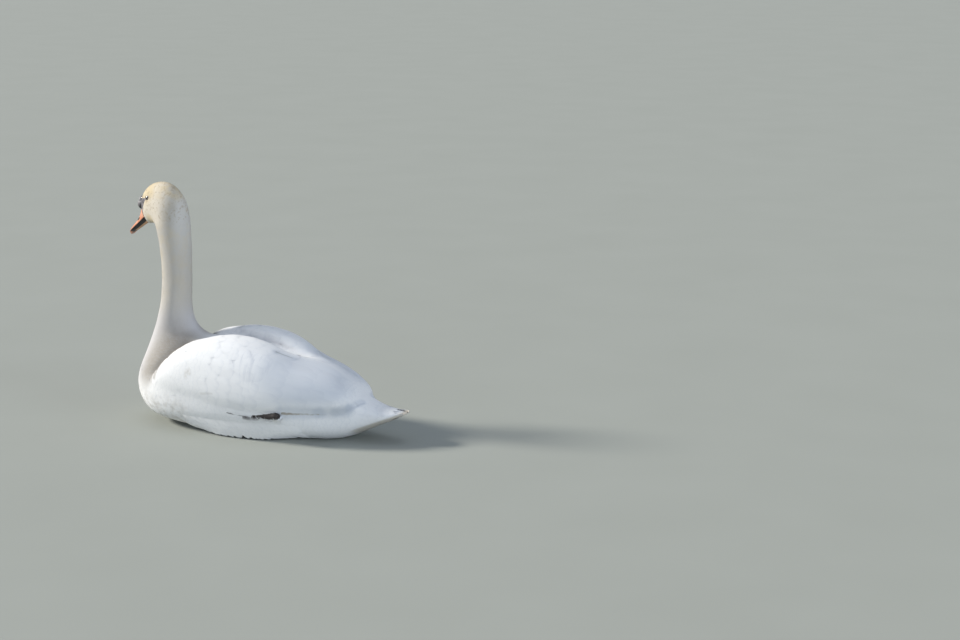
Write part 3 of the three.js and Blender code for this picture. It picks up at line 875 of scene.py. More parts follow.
# %% Head and neck colours
def head_and_neck(made, place):
    """Cream neck, ochre crown and forehead, rusty flecks; painted light and shade on the head."""
    x, y, z = made.split(place)
    neck_base = made.step(z, 0.05, 0.24) * made.step(x, -0.13, -0.22)
    neck_base = neck_base * made.step(y.abs(), 0.120, 0.070)
    highest = {0: made.step(z, 0.26, 0.36), 1: neck_base}
    on_neck = made.node("ShaderNodeMath", {"operation": "MAXIMUM"}, highest)
    colour = made.mix(on_neck * 0.85, WHITE, CREAM)
    blotches = made.noise(place, 26.0, 3.0, 0.6)
    rusty = made.step(z, 0.25, 0.5) * made.step(blotches, 0.42, 0.70)
    colour = made.mix(rusty * 0.35, colour, OCHRE)
    # painted light: the face is paler where the sun falls on it
    face = made.step(z, 0.50, 0.525) * made.step(x, -0.252, -0.285)
    colour = made.mix(face * 0.85, colour, FACE_LIT_CREAM)
    # painted light: the nape is paler where the sky lights it
    lit_nape = made.step(z, 0.36, 0.56) * made.step(x, -0.250, -0.220)
    colour = made.mix(lit_nape * 0.30, colour, WHITE)
    # painted shade on the head's side behind the eye, mixed with real brown mottling
    shade_behind_eye = made.spot(made.flipped(place), (-0.248, 0.036, 0.545), (0.034, 0.026, 0.055))
    shade_behind_eye = made.step(shade_behind_eye, 0.0, 0.6) * made.step(blotches, 0.30, 0.60)
    colour = made.mix(shade_behind_eye * 0.60, colour, GRIME_AND_SHADE)
    crown = made.step(z, 0.545, 0.60) * made.step(blotches, 0.30, 0.6)
    colour = made.mix(crown * 0.6, colour, OCHRE)
    forehead = made.spot(place, (-0.325, 0.012, 0.580), (0.045, 0.05, 0.04))
    colour = made.mix(made.step(forehead, 0.0, 0.6) * 0.70, colour, OCHRE)
    flecks = made.step(made.noise(place, 150.0, 2.0, 0.6), 0.54, 0.66)
    return made.mix(made.step(z, 0.50, 0.54) * flecks * 0.55, colour, FLECK)


# %% Breast and grime
def breast(made, place, colour):
    """Painted shade on the breast and neck's base: grey in front, brown up to the wing's edge."""
    x, y, z = made.split(place)
    side = made.step(y.abs() + (x + 0.32) * 0.5, 0.055, 0.12)
    low = made.step(z - made.step(y.abs(), 0.105, 0.125) * 0.034, 0.070, 0.145)
    low = low * made.step(z, 0.33, 0.25) * made.step(x, -0.15, -0.20)
    # painted shade, greyer in front and browner next to the wing
    grey = made.mix(side, BREAST_SHADE, NECK_BASE_SHADE)
    return made.mix(low * (1 - made.stored("wing")) * 0.95, colour, grey)


def grime(made, place, colour):
    """The stained chin, the breast where it meets the ground, and a smudge on the shoulder."""
    x, _, z = made.split(place)
    dirt = made.step(made.noise(place, 45.0, 4.0, 0.7), 0.38, 0.68)
    chin = made.spot(place, (-0.316, -0.006, 0.518), (0.024, 0.026, 0.022))
    colour = made.mix(made.step(chin, 0.0, 0.6) * 0.6, colour, OCHRE)
    low_breast = made.step(z, 0.115, 0.045) * made.step(x, -0.10, -0.20)
    colour = made.mix(low_breast * dirt * 0.6, colour, GRIME_AND_SHADE)
    smudge = made.spot(made.flipped(place), (-0.140, 0.150, 0.160), (0.016, 0.02, 0.022))
    return made.mix(made.step(smudge, 0.0, 0.7) * dirt * 0.55, colour, GRIME_AND_SHADE)


# %% Creases, flank and tail
def creases(made, place, colour):
    """Painted shade and shadow in uneven lines where one group of feathers ends over the next."""
    texture = {"Vector": place, "Scale": 70.0, "Detail": 3.0}
    noise = made.node("ShaderNodeTexNoise", {}, texture, 1)
    ruffled = made.vector("MULTIPLY_ADD", {0: noise, 1: RUFFLE, 2: made.flipped(place)})
    # The noise is a half on average, so the ends are moved by half of its reach.
    for *ends, width, strength, shade in CREASE_SHADES:
        start, end = (tuple(v * MM + 0.5 * off for v, off in zip(p, RUFFLE)) for p in ends)
        far = made.beside(ruffled, start, end)
        # each line is painted shade or shadow
        line = made.step(far, width * MM, 0.35 * width * MM)
        colour = made.mix(line * strength, colour, shade)
    return colour


def flank_and_tail(made, place, colour):
    """Cool painted shade on the wing's lee side and in soft flank streaks, and a brown under-tail.
    """
    x, _, z = made.split(place)
    # painted shade on the wing's lee side
    lee = made.spot(made.flipped(place), (0.155, 0.085, 0.160), (0.165, 0.12, 0.085))
    colour = made.mix(made.step(lee, 0.0, 0.45) * 0.33, colour, SHADE_BLUE)
    # painted shade in soft streaks, as between tufts of feathers
    flank = made.spot(made.flipped(place), (0.025, 0.125, 0.185), (0.085, 0.06, 0.055))
    streaks = made.noise(made.stretched(place, (110.0, 20.0, 14.0)), 1.0, 3.0, 0.6)
    streaks = made.step(flank, 0.0, 0.5) * made.step(streaks, 0.48, 0.68)
    colour = made.mix(streaks * 0.30, colour, STREAK_SHADE)
    # the under-tail's brown is partly dirt and partly painted shade
    under_tail = made.step(z - x * 0.39, -0.0705, -0.0770) * made.step(x, 0.255, 0.285)
    return made.mix(under_tail * 0.70, colour, TAIL_DIRT_AND_SHADE)


# %% Barbs
def barbs_and_tip(made, tone, colour, grain):
    """Fine slanting barbs on a vane, and a painted shadow along its tip."""
    side, along, _ = made.split(made.node("ShaderNodeUVMap", {"uv_map": "vane"}))
    slant = along * grain - (side - 0.5).abs() * (grain * 0.30)
    barbs = made.node("ShaderNodeCombineXYZ", {}, {0: slant, 1: side * 1.5, 2: tone * 40.0})
    height = made.noise(barbs, 1.0, 2.0, 0.6)
    made.set(normal=made.bump(height, 0.0004, 0.35))
    colour = made.mix(made.step(height, 0.35, 0.75) * 0.07, colour, BARB_GREY)
    # painted shadow along the tip
    tip = made.step(along + (side - 0.5).abs() * 0.35, 0.80, 1.02)
    return made.mix(tip * 0.12, colour, TIP_SHADOW)


# %% Plumage material
def plumage(name, vane_grain=None, of_wing=False):
    """Colour by the place on the body. vane_grain is how many barb clumps lie along a vane."""
    made = Material(name)
    place = made.place()
    colour = head_and_neck(made, place)
    if not of_wing:
        # painted shade on the breast, kept off the wing's feathers
        colour = breast(made, place, colour)
    colour = grime(made, place, colour)
    # painted shade and shadow in the creases
    colour = creases(made, place, colour)
    # painted shade on the flank and wing, and the under-tail's brown
    colour = flank_and_tail(made, place, colour)
    tone = made.stored("tone")
    colour = made.mix(tone * 0.10, colour, TONE_GREY)
    if vane_grain:
        colour = barbs_and_tip(made, tone, colour, vane_grain)
    bare_skin = made.stored("bare")
    # black bare skin, mottled with a painted grey sheen
    mottle = made.step(made.noise(place, 90.0, 2.0), 0.42, 0.65)
    lore_skin_and_sheen = made.mix(mottle, LORE_BLACK, LORE_SHEEN)
    colour = made.mix(made.step(bare_skin, 0.35, 0.65), colour, lore_skin_and_sheen)
    made.set(base_color=colour, roughness=0.75 - bare_skin * 0.37)
    print("material", name, "has", len(made.tree.nodes), "nodes")
    return made.material


# %% Dress the skin
skin.data.materials.append(plumage("down"))
bpy.ops.object.shade_smooth()
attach(skin, "root")
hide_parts(*FLESH)

# %% [markdown]
# The bill is two long halves that meet in a straight line. The upper one is arched, hollow along
# its ridge and broad near the tip, with a nail at the end, a nostril on each side and a fleshy
# dark knob at its base. The lower one lies under it. Both are drawn out ring by ring in the bill's
# own frame, as one would extrude a section, and are then set on the face.

# %% Bill
GAPE = (-343 * MM, 521 * MM)  # x and z of the mouth's corner, before the head's turn
BILL_PITCH = math.radians(38)
BILL_SIDES = 28
UPPER_BILL = [  # in mm along the bill: x, half width, arched side, flat side
    (-12, 14, 38, 2), (2, 14.5, 32, 0.5), (10, 15, 25, 0.3), (18, 14.4, 18.5, 0.3),
    (28, 14, 14.5, 0.3), (40, 14.2, 11.6, 0.3), (52, 15, 9.8, 0.3), (62, 15.6, 8.4, 0.3),
    (70, 14.8, 7.4, 0.1), (77, 11.5, 5.8, -1.5), (81.5, 6.5, 3, -3.6), (83.5, 2, -0.4, -4.2),
]
LOWER_BILL = [
    (-12, 12.5, -12, 0), (2, 13, -12.5, 0), (15, 13, -12, 0), (32, 12.2, -9.5, 0),
    (50, 12.4, -7, 0), (61, 12.4, -5.4, 0), (69, 10, -4.4, -0.2), (75, 5, -3.2, -0.6),
]
KNOB_AT, KNOB_RADII = (0.5, 0, 36.5), (13, 10, 13.5)  # in mm along, across and up
BRIDGE_AT, BRIDGE_RADII = (-2, 0, 43.5), (6.6, 7.6, 15)  # the knob's run up to the forehead
BRIDGE_LEAN = math.radians(-46)
BILL_VOXEL = 0.6 * MM
bill_place = (
    Matrix.Translation((NECK_LINE_X, 0, 0))
    @ Matrix.Rotation(-HEAD_YAW, 4, "Z")
    @ Matrix.Translation((GAPE[0] - NECK_LINE_X, 0, GAPE[1]))
    @ Matrix.Rotation(math.pi, 4, "Z")
    @ Matrix.Rotation(BILL_PITCH, 4, "Y")
)


# %% Forms drawn out
def drawn_out(name, rows, sides):
    """A form drawn out ring by ring along +X: arched on one side and flat on the other."""
    deselect()
    bpy.ops.mesh.primitive_circle_add(
        vertices=sides, radius=MM, fill_type="NGON", rotation=(math.pi / 2, 0, math.pi / 2)
    )
    item = bpy.context.object
    item.name = name
    bpy.ops.object.transform_apply(location=True, rotation=True, scale=True)
    x, half, arch, flat = rows[0]
    low = coordinates(item)[:, 2] * math.copysign(1, arch - flat) < -1e-7
    choose_points(item, low)
    bpy.ops.transform.resize(value=(1, 1, 0.03), center_override=(0, 0, 0))
    bpy.ops.mesh.select_all(action="SELECT")
    bpy.ops.transform.resize(value=(1, half, abs(arch - flat)), center_override=(0, 0, 0))
    bpy.ops.transform.translate(value=(x * MM, 0, flat * MM))
    for (x0, half0, arch0, flat0), (x, half, arch, flat) in zip(rows, rows[1:]):
        step = {"value": ((x - x0) * MM, 0, (flat - flat0) * MM)}
        bpy.ops.mesh.extrude_region_move(TRANSFORM_OT_translate=step)
        shares = (1, half / half0, abs(arch - flat) / abs(arch0 - flat0))
        bpy.ops.transform.resize(value=shares, center_override=(x * MM, 0, flat * MM))
    bpy.ops.mesh.select_all(action="SELECT")
    bpy.ops.mesh.normals_make_consistent(inside=False)
    bpy.ops.object.mode_set(mode="OBJECT")
    add_modifier(item, "SUBSURF", levels=2)
    apply_modifiers(item)
    return item


# %% Placing and pulling points
def keep_own_place(item):
    """Store each point's place in the piece's own frame, in mm, for its material."""
    attribute = item.data.attributes.new("own_place", "FLOAT_VECTOR", "POINT")
    attribute.data.foreach_set("vector", (coordinates(item) / MM).astype(np.float32).ravel())


def apply_place():
    bpy.ops.object.transform_apply(location=True, rotation=True, scale=True)


def set_in_place(item, matrix):
    item.matrix_world = matrix
    select_only(item)
    apply_place()
    bpy.ops.object.shade_smooth()


def resize_points(item, chosen, shares, centre=(0, 0, 0)):
    """Draw the chosen points towards a centre in mm, or away from it."""
    choose_points(item, chosen)
    bpy.ops.transform.resize(value=shares, center_override=tuple(v * MM for v in centre))
    bpy.ops.object.mode_set(mode="OBJECT")


def move_points(item, chosen, step):
    """Move the chosen points by a step in mm."""
    choose_points(item, chosen)
    bpy.ops.transform.translate(value=tuple(v * MM for v in step))
    bpy.ops.object.mode_set(mode="OBJECT")


def add_ball(at, segments, rings):
    """A ball of 1 mm radius at a place in mm."""
    deselect()
    bpy.ops.mesh.primitive_uv_sphere_add(
        segments=segments, ring_count=rings, radius=MM, location=tuple(v * MM for v in at)
    )
    return bpy.context.object


# %% Upper half
NOSTRIL_X, NOSTRIL_Z = 27, 9  # mm in the bill's own frame
FURROW = 1.6 * MM  # half the width of the furrow over the knob

bill_upper = drawn_out("bill_upper_skin", UPPER_BILL, BILL_SIDES)
knob = add_ball(KNOB_AT, 32, 20)
bpy.ops.transform.resize(value=KNOB_RADII)
apply_place()
furrow = np.abs(coordinates(knob)[:, 1]) < FURROW
resize_points(knob, furrow & (coordinates(knob)[:, 2] > 30 * MM), (0.93, 1, 0.93), KNOB_AT)
bridge = add_ball(BRIDGE_AT, 24, 16)
bridge.rotation_euler[1] = BRIDGE_LEAN
bridge.scale = BRIDGE_RADII
apply_place()
select_only(bill_upper, knob, bridge)
bpy.ops.object.join()
add_modifier(bill_upper, "REMESH", mode="VOXEL", voxel_size=BILL_VOXEL)
add_modifier(bill_upper, "SMOOTH", factor=0.5, iterations=4)
apply_modifiers(bill_upper)
x, y, z = coordinates(bill_upper).T / MM
ahead, above = x - NOSTRIL_X, z - NOSTRIL_Z
nostrils = (ahead / 5) ** 2 + ((above + 0.12 * ahead) / 1.4) ** 2 < 1
resize_points(bill_upper, nostrils & (np.abs(y) > 4), (1, 0.74, 1))
nail = ((x - 80) / 11) ** 2 + (y / 6.5) ** 2 < 1
move_points(bill_upper, nail & (z > 1), (0.4, 0, 0.5))
over_edge = (z > 1.0) & (z < 2.0) & (x > 4) & (x < 74) & (np.abs(y) > 8)
resize_points(bill_upper, over_edge, (1, 0.96, 1))
choose_points(bill_upper, np.ones(len(x), bool))
bpy.ops.mesh.vertices_smooth(factor=0.5, repeat=1)
bpy.ops.object.mode_set(mode="OBJECT")

# %% Lower half
bill_lower = drawn_out("bill_lower_skin", LOWER_BILL, BILL_SIDES)
x, y, z = coordinates(bill_lower).T / MM
between_bars = (np.abs(y) < 6) & (z < -3) & (x < 52)
move_points(bill_lower, between_bars, (0, 0, 1.3))
for item in (bill_upper, bill_lower):
    keep_own_place(item)
    set_in_place(item, bill_place)
    print(item.name, len(item.data.polygons), "faces")

# %% [markdown]
# The bill is orange, paler in clouds, and black along its edge, at its base and in the nostrils.
# The black knob is painted grey towards its top as a sheen, and the nail is a brown lightened
# by a painted highlight.
# Each half carries its points' places in its own frame, so the marks are set in mm along the bill.

# %% Bill colours
BILL_ORANGE = (0.74, 0.27, 0.13, 1)
BILL_PALE = (0.80, 0.42, 0.28, 1)
BILL_RED = (0.55, 0.17, 0.09, 1)
BILL_BLACK = (0.022, 0.020, 0.021, 1)
BILL_TAN, BILL_AMBER = (0.50, 0.30, 0.15, 1), (0.70, 0.36, 0.20, 1)
# the nail's own brown, lightened by a painted highlight
NAIL_BROWN_AND_SHEEN = (0.36, 0.25, 0.22, 1)
# painted sheen on the black knob
KNOB_SHEEN = (0.24, 0.225, 0.24, 1)

horn = Material("bill_upper")
own = horn.stored("own_place", 1)
x, y, z = horn.split(own)
colour = horn.mix(horn.step(horn.noise(own, 0.09, 3.0), 0.35, 0.7), BILL_ORANGE, BILL_PALE)
colour = horn.mix(horn.step(horn.noise(own, 0.9, 2.0), 0.5, 0.75) * 0.25, colour, BILL_RED)
nostrils = [
    horn.step(horn.spot(own, (NOSTRIL_X, y_side, NOSTRIL_Z), (7, 9, 2.8)), 0.0, 0.12)
    for y_side in (11, -11)
]
edge = horn.step(z, 1.9, 1.2) * horn.step(x, 76, 70)
nail = horn.step(horn.spot(own, (81, 0, 2), (12, 7, 9)), 0.0, 0.1)
base = horn.step(x + z * 0.10, 4.4, 3.2)
berry = horn.step(horn.spot(own, (-1, 0, 40), (20, 14, 23)), 0.0, 0.06)
for mask in (*nostrils, edge, base):
    colour = horn.mix(mask, colour, BILL_BLACK)
# painted sheen: the black knob turns grey towards its top
knob_top_sheen = horn.step(z + horn.noise(own, 0.35, 3.0) * 8, 34, 50)
colour = horn.mix(berry, colour, horn.mix(knob_top_sheen, BILL_BLACK, KNOB_SHEEN))
# the nail, partly its own brown and partly a painted highlight
colour = horn.mix(nail * 0.75, colour, NAIL_BROWN_AND_SHEEN)
wrinkles = horn.noise(own, 0.55, 3.0, 0.65)
grain = horn.noise(horn.stretched(own, (0.25, 1.2, 1.2)), 0.8, 3.0, 0.6)
bumped = horn.bump(wrinkles * berry * 2.0 + grain * 0.5, 0.0006, 0.5)
horn.set(base_color=colour, roughness=0.42 + berry * 0.10, normal=bumped, coat_weight=0.15)
bill_upper.data.materials.clear()
bill_upper.data.materials.append(horn.material)
print(horn.material.name, "has", len(horn.tree.nodes), "nodes")

# %% Lower bill colours
horn = Material("bill_lower")
own = horn.stored("own_place", 1)
x, y, z = horn.split(own)
bar = horn.step(y.abs() + x * 0.05, 9.8, 8.4) * horn.step(z, -3.0, -4.4) * horn.step(x, 66, 58)
streaks = horn.noise(horn.stretched(own, (0.3, 1.5, 1.5)), 0.6, 3.0, 0.6)
tan = horn.mix(horn.step(streaks, 0.35, 0.7), BILL_TAN, BILL_AMBER)
colour = horn.mix(bar * 0.9, BILL_BLACK, tan)
horn.set(base_color=colour, roughness=0.40, normal=horn.bump(streaks, 0.0005, 0.5))
bill_lower.data.materials.append(horn.material)
BILL_SLOTS = ((bill_upper, "bill_upper", "bill_orange"), (bill_lower, "bill_lower", "bill_black"))
for item, stands_for, group in BILL_SLOTS:
    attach(item, "root")
    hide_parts(stands_for)
    print(item.name, "stands for", stands_for)

# %% [markdown]
# Each eyeball is a full ball in its socket. Its pole faces outward, and its material is ringed
# about the pole: a black pupil, a dark brown iris and a darker rim, under one clear wet coat.

# %% Eyeballs
PUPIL, IRIS = 2.5, 5.0  # radii in mm
BLUR = 0.4  # mm over which one ring passes into the next
WINDOW = 5.2 * MM  # radius of the clear window, which swells a little
IRIS_DARK, IRIS_LIGHT = (0.030, 0.014, 0.007, 1), (0.085, 0.040, 0.018, 1)
PUPIL_BLACK, RIM_BLACK = (0.002, 0.002, 0.002, 1), (0.010, 0.007, 0.006, 1)

iris = Material("eye")
own = iris.stored("own_place", 1)
x, y, z = iris.split(own)
from_pole = (x * x + y * y) ** 0.5
rays = iris.noise(iris.stretched(own, (1, 1, 0.1)), 1.6, 2.0, 0.6)
brown = iris.mix(rays, IRIS_DARK, IRIS_LIGHT)
colour = iris.mix(iris.step(from_pole, PUPIL, PUPIL + BLUR), PUPIL_BLACK, brown)
colour = iris.mix(iris.step(from_pole, IRIS - BLUR, IRIS + BLUR), colour, RIM_BLACK)
iris.set(base_color=colour, roughness=0.18, coat_weight=1.0, coat_roughness=0.03)
for label, side in SIDES:
    deselect()
    bpy.ops.mesh.primitive_uv_sphere_add(
        segments=40, ring_count=24, radius=EYE_RADIUS - 0.05 * MM
    )
    ball = bpy.context.object
    ball.name = "eyeball_" + label
    window = np.hypot(*coordinates(ball)[:, :2].T) < WINDOW
    resize_points(ball, window, (0.97, 0.97, 1.02))
    keep_own_place(ball)
    centre, axes = eye_frame(side)
    turn = Matrix([tuple(row) for row in axes]).transposed()
    if turn.determinant() < 0:
        turn = turn @ Matrix.Diagonal((1, -1, 1))
    set_in_place(ball, Matrix.Translation(centre) @ turn.to_4x4())
    ball.data.materials.append(iris.material)
    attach(ball, "root")
    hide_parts("eye_" + label)
    print(ball.name, "at", [round(float(v) / MM, 1) for v in centre], "mm")

# %% [markdown]
# A feather is a thin closed vane. Its middle line starts in the skin at the root, follows the lie
# of the coat over the envelope and rises towards the tip, so that each feather covers the roots of
# those behind it, as on the real bird. Thousands are laid at once as arrays and joined. A vane has
# few faces, so it is shaded with the envelope's own directions, which keeps a row of them smooth.

# %% Feather
PATCH = 0.003  # size of a feather's patch on the skin's unwrap
PIECE_TRIANGLES = 190000  # most triangles in one piece of the coat
GROUND = 0.3 * MM  # no feather goes lower
RIM_SOFT = 0.9  # as a kind's soft, for the points on the rim
FOLLOW = 0.6  # how much of the envelope's direction a feather takes up at each station
STIFFNESS = 0.6  # how much of its own heading it keeps there
SLIP = 0.45  # how far it may be drawn to the envelope, as a share of the station's step
WRAP = 0.6  # how far a rim may be drawn to it, as a share of half the width


class Kind:
    """How one kind of feather is shaped. Stations run from 0 at the root to 1 at the tip.

    tilt, camber, slope and dip say how the vane leans, curves across, rises from the skin and
    bends down at the tip. sway is how unevenly the feathers point, in degrees. fringe roughens the
    tip. soft is how far the shading follows the envelope. wraps draws the rims to the envelope.
    """

    def __init__(self, stations, widths, columns, thickness, fringe=0.0, camber=0.0, tilt=0.0,
                 slope=0.03, dip=0.4, sway=8, soft=0.5, wraps=True):
        self.stations = np.array(stations)
        self.widths = np.array(widths)
        self.columns = columns
        self.thickness = thickness
        self.fringe = fringe
        self.camber = camber
        self.tilt = tilt
        self.slope = slope
        self.dip = dip
        self.sway = math.radians(sway)
        self.soft = soft
        self.wraps = wraps
        self.faces, self.count = self.grid()
        self.triangles = 2 * len(self.faces)
        rim = np.ones((len(stations), columns + 1), bool)
        rim[1:-1, 1:-1] = False
        self.on_rim = np.zeros(self.count, bool)
        self.on_rim[: rim.size] = rim.ravel()

    def grid(self):
        """Quads of one feather: an upper and a lower side that share their rim."""
        rows, columns = len(self.stations) - 1, self.columns
        upper = np.arange((rows + 1) * (columns + 1)).reshape(rows + 1, columns + 1)
        lower = upper.copy()
        inner = (rows - 1) * (columns - 1)
        lower[1:-1, 1:-1] = upper.size + np.arange(inner).reshape(rows - 1, columns - 1)
        top = np.stack([upper[:-1, :-1], upper[1:, :-1], upper[1:, 1:], upper[:-1, 1:]], -1)
        bottom = np.stack([lower[:-1, :-1], lower[:-1, 1:], lower[1:, 1:], lower[1:, :-1]], -1)
        return np.concatenate([top.reshape(-1, 4), bottom.reshape(-1, 4)]), upper.size + inner


def turned_about(vectors, axes, angles):
    cosine, sine = np.cos(angles)[:, None], np.sin(angles)[:, None]
    return vectors * cosine + np.cross(axes, vectors) * sine


def lay_feathers(name, kind, roots, length, width, rng, material=None, way=None, lift=0.0):
    """Feathers of one kind, grown from roots on the envelope, as pieces of the coat."""
    places, faces, shares = roots
    count = len(places)
    length = np.broadcast_to(length, count) * rng.uniform(0.92, 1.08, count)
    width = np.broadcast_to(width, count) * rng.uniform(0.94, 1.06, count)
    sway = rng.normal(0, kind.sway, count)
    lies = envelope.field(lie, faces, shares) if way is None else way
    normals = unit(envelope.field(envelope.normals, faces, shares))
    root_depth = envelope.field(depth, faces, shares)
    root_uv = np.einsum("ij,ijk->ik", shares, skin_uv[envelope.loops[faces]])
    heading = turned_about(flat_on(lies, normals), normals, sway)
    line, line_normals, headings = [places], [normals], [heading]
    for share in np.diff(kind.stations):
        reach = line[-1] + heading * (share * length)[:, None]
        places, faces, shares = envelope.nearest(reach)
        slip = np.linalg.norm(places - reach, axis=1)
        most = SLIP * share * length  # past an edge of the body a feather goes straight on
        places = reach + (places - reach) * np.minimum(1, most / np.maximum(slip, 1e-9))[:, None]
        normals = envelope.field(envelope.normals, faces, shares)
        normals = unit((1 - FOLLOW) * line_normals[-1] + FOLLOW * normals)
        lies = envelope.field(lie, faces, shares) if way is None else way
        lies = turned_about(flat_on(lies, normals), normals, sway)
        heading = flat_on(STIFFNESS * heading + (1 - STIFFNESS) * lies, normals)
        line.append(places)
        line_normals.append(normals)
        headings.append(heading)
    paths = np.stack(line, 1), np.stack(line_normals, 1), np.stack(headings, 1)
    build_vanes(name, kind, paths, (length, width, root_depth), root_uv, rng, material, lift)


# %% Vanes
def rims_beside(kind, line, line_normals, half, across):
    """The two rims of each vane, and the envelope's directions there."""
    rims, rim_normals = [], []
    for sign in (-1, 1):
        rim = line + sign * half[..., None] * across
        turned = line_normals
        if kind.wraps:
            flat = rim.reshape(-1, 3)
            near, *nearby = envelope.nearest(flat)
            turned = unit(envelope.field(envelope.normals, *nearby)).reshape(rim.shape)
            agree = smoothstep(dot(turned, line_normals), 0.2, 0.6)[..., None]
            turned = unit(line_normals * (1 - agree) + turned * agree)
            slip = np.linalg.norm(near - flat, axis=1)
            share = np.minimum(1, WRAP * half.reshape(-1) / np.maximum(slip, 1e-9))[:, None]
            rim = (flat + share * (near - flat)).reshape(rim.shape)
        rims.append(rim)
        rim_normals.append(turned)
    return rims, rim_normals


def spread_across(kind, middle, left, right):
    """A curve through three values at each station, read at every column of the vane."""
    t = np.linspace(-1, 1, kind.columns + 1)[:, None]
    middle, left, right = (values[:, :, None] for values in (middle, left, right))
    return middle + t * (right - left) / 2 + t * t * ((right + left) / 2 - middle)


def both_sides(upper, lower):
    """All points of the upper side, then those of the lower side that are not on the rim."""
    count, width = len(upper), upper.shape[-1]
    inner = lower[:, 1:-1, 1:-1].reshape(count, -1, width)
    return np.concatenate([upper.reshape(count, -1, width), inner], 1)


def rise_over_line(kind, sizes, half, lift):
    """How far each point of a vane stands over its middle line's place on the envelope."""
    along = kind.stations[None, :, None]
    cross = np.linspace(-1, 1, kind.columns + 1)
    length, width, root_depth = (values[:, None, None] for values in sizes)
    fall = kind.slope * length
    sink = fall * (1 - along) + np.maximum(root_depth - fall, 0) * (1 - along) ** 7
    sink = sink + kind.dip * fall * np.clip((along - 0.8) / 0.2, 0, 1) ** 2
    rise = lift - sink + kind.tilt * width * cross
    return rise - kind.camber * half[:, :, None] * cross**2


def build_vanes(name, kind, paths, sizes, root_uv, rng, material, lift):
    """Vanes along their middle lines. sizes are each one's length, width and root's depth."""
    line, line_normals, headings = paths
    count = len(line)
    across = unit(np.cross(line_normals, headings))
    half = 0.5 * sizes[1][:, None] * kind.widths
    rims, rim_normals = rims_beside(kind, line, line_normals, half, across)
    up = line_normals[:, :, None]
    rise = rise_over_line(kind, sizes, half, lift)
    grid = spread_across(kind, line, *rims) + up * rise[..., None]
    if kind.fringe:
        uneven = rng.uniform(0.3, 1.0, (count, kind.columns + 1))
        uneven[:, ::2] *= -0.35  # every second column is short
        push = kind.fringe * sizes[0][:, None] * uneven
        grid[:, -1] += headings[:, -1, None] * push[..., None]
    cross, along = np.meshgrid(np.linspace(-1, 1, kind.columns + 1), kind.stations)
    body = kind.thickness * (1 - cross**2) * (1 - 0.6 * along) / 2
    body[[0, -1]] = 0
    points = both_sides(grid + up * body[..., None], grid - up * body[..., None])
    points[..., 2] = np.maximum(points[..., 2], GROUND)
    shown = unit(spread_across(kind, line_normals, *rim_normals))
    shown = both_sides(shown, shown)
    vane_uv = np.stack([cross / 2 + 0.5, along], -1)[None]
    vane_uv = both_sides(vane_uv, vane_uv)[0]
    tone = rng.uniform(0, 1, count)
    pieces = math.ceil(count / (PIECE_TRIANGLES // kind.triangles))
    order = np.argsort(points[:, 0, 0], kind="stable") if pieces > 1 else np.arange(count)
    for number, chosen in enumerate(np.array_split(order, pieces)):
        label = name if pieces == 1 else f"{name}_{number + 1}"
        item = coat_piece(label, kind, points[chosen], shown[chosen], tone[chosen])
        add_maps(item, kind, vane_uv, root_uv[chosen])
        item.data.materials.append(material or vane_plumage)
    print(f"{name}: {count} feathers, {count * kind.triangles} triangles")


# %% Coat pieces
def coat_piece(label, kind, points, shown, tone):
    """One mesh from the points of many feathers."""
    count = len(points)
    faces = (kind.faces[None] + (np.arange(count) * kind.count)[:, None, None]).reshape(-1, 4)
    mesh = bpy.data.meshes.new(label)
    mesh.vertices.add(count * kind.count)
    mesh.vertices.foreach_set("co", points.astype(np.float32).ravel())
    mesh.loops.add(faces.size)
    mesh.loops.foreach_set("vertex_index", faces.astype(np.int32).ravel())
    mesh.polygons.add(len(faces))
    mesh.polygons.foreach_set("loop_start", (np.arange(len(faces)) * 4).astype(np.int32))
    mesh.update(calc_edges=True)
    attribute = mesh.attributes.new("tone", "FLOAT", "POINT")
    attribute.data.foreach_set("value", np.repeat(tone, kind.count).astype(np.float32))
    mesh.polygons.foreach_set("use_smooth", np.ones(len(faces), bool))
    own = read_all(mesh.vertex_normals, "vector", 3).reshape(count, kind.count, 3)
    aims = shading(kind, points[:, kind.faces], shown[:, kind.faces], own[:, kind.faces])
    mesh.normals_split_custom_set(aims.reshape(-1, 3).tolist())
    item = bpy.data.objects.new(label, mesh)
    bpy.context.scene.collection.objects.link(item)
    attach(item, "root")
    return item


def shading(kind, corners, shown, own):
    """Directions to shade the corners of faces by: mostly the envelope's, on the face's side."""
    diagonals = corners[:, :, 2] - corners[:, :, 0], corners[:, :, 3] - corners[:, :, 1]
    flat = unit(np.cross(*diagonals))[:, :, None]
    lower = np.arange(len(kind.faces)) >= len(kind.faces) // 2
    aim = shown * np.where(lower, -1, 1)[:, None, None]
    on_rim = kind.on_rim[kind.faces][..., None]
    soft = np.where(on_rim, RIM_SOFT, kind.soft)
    soft = soft * smoothstep(dot(flat, aim)[..., None], 0.0, 0.5)  # 0 if it looks the other way
    rest = np.where(on_rim, flat, own)
    rest = np.where(dot(rest, flat)[..., None] > 0.2, rest, flat)
    return unit(soft * aim + (1 - soft) * rest)


def add_maps(item, kind, vane_uv, root_uv):
    """OFBake: a patch at each root's place on the skin's unwrap. vane: the place on the vane."""
    corner_uv = vane_uv[kind.faces.ravel()]
    patches = (root_uv[:, None] + (corner_uv - 0.5) * PATCH).reshape(-1, 2)
    for name, values in (("OFBake", patches), ("vane", np.tile(corner_uv, (len(root_uv), 1)))):
        layer = item.data.uv_layers.new(name=name)
        layer.data.foreach_set("uv", values.astype(np.float32).ravel())


BODY_BARBS, WING_BARBS = 26.0, 60.0  # clumps of barbs along a small vane and along a long one

vane_plumage = plumage("vanes", BODY_BARBS)
wing_plumage = plumage("wing_vanes", WING_BARBS, of_wing=True)

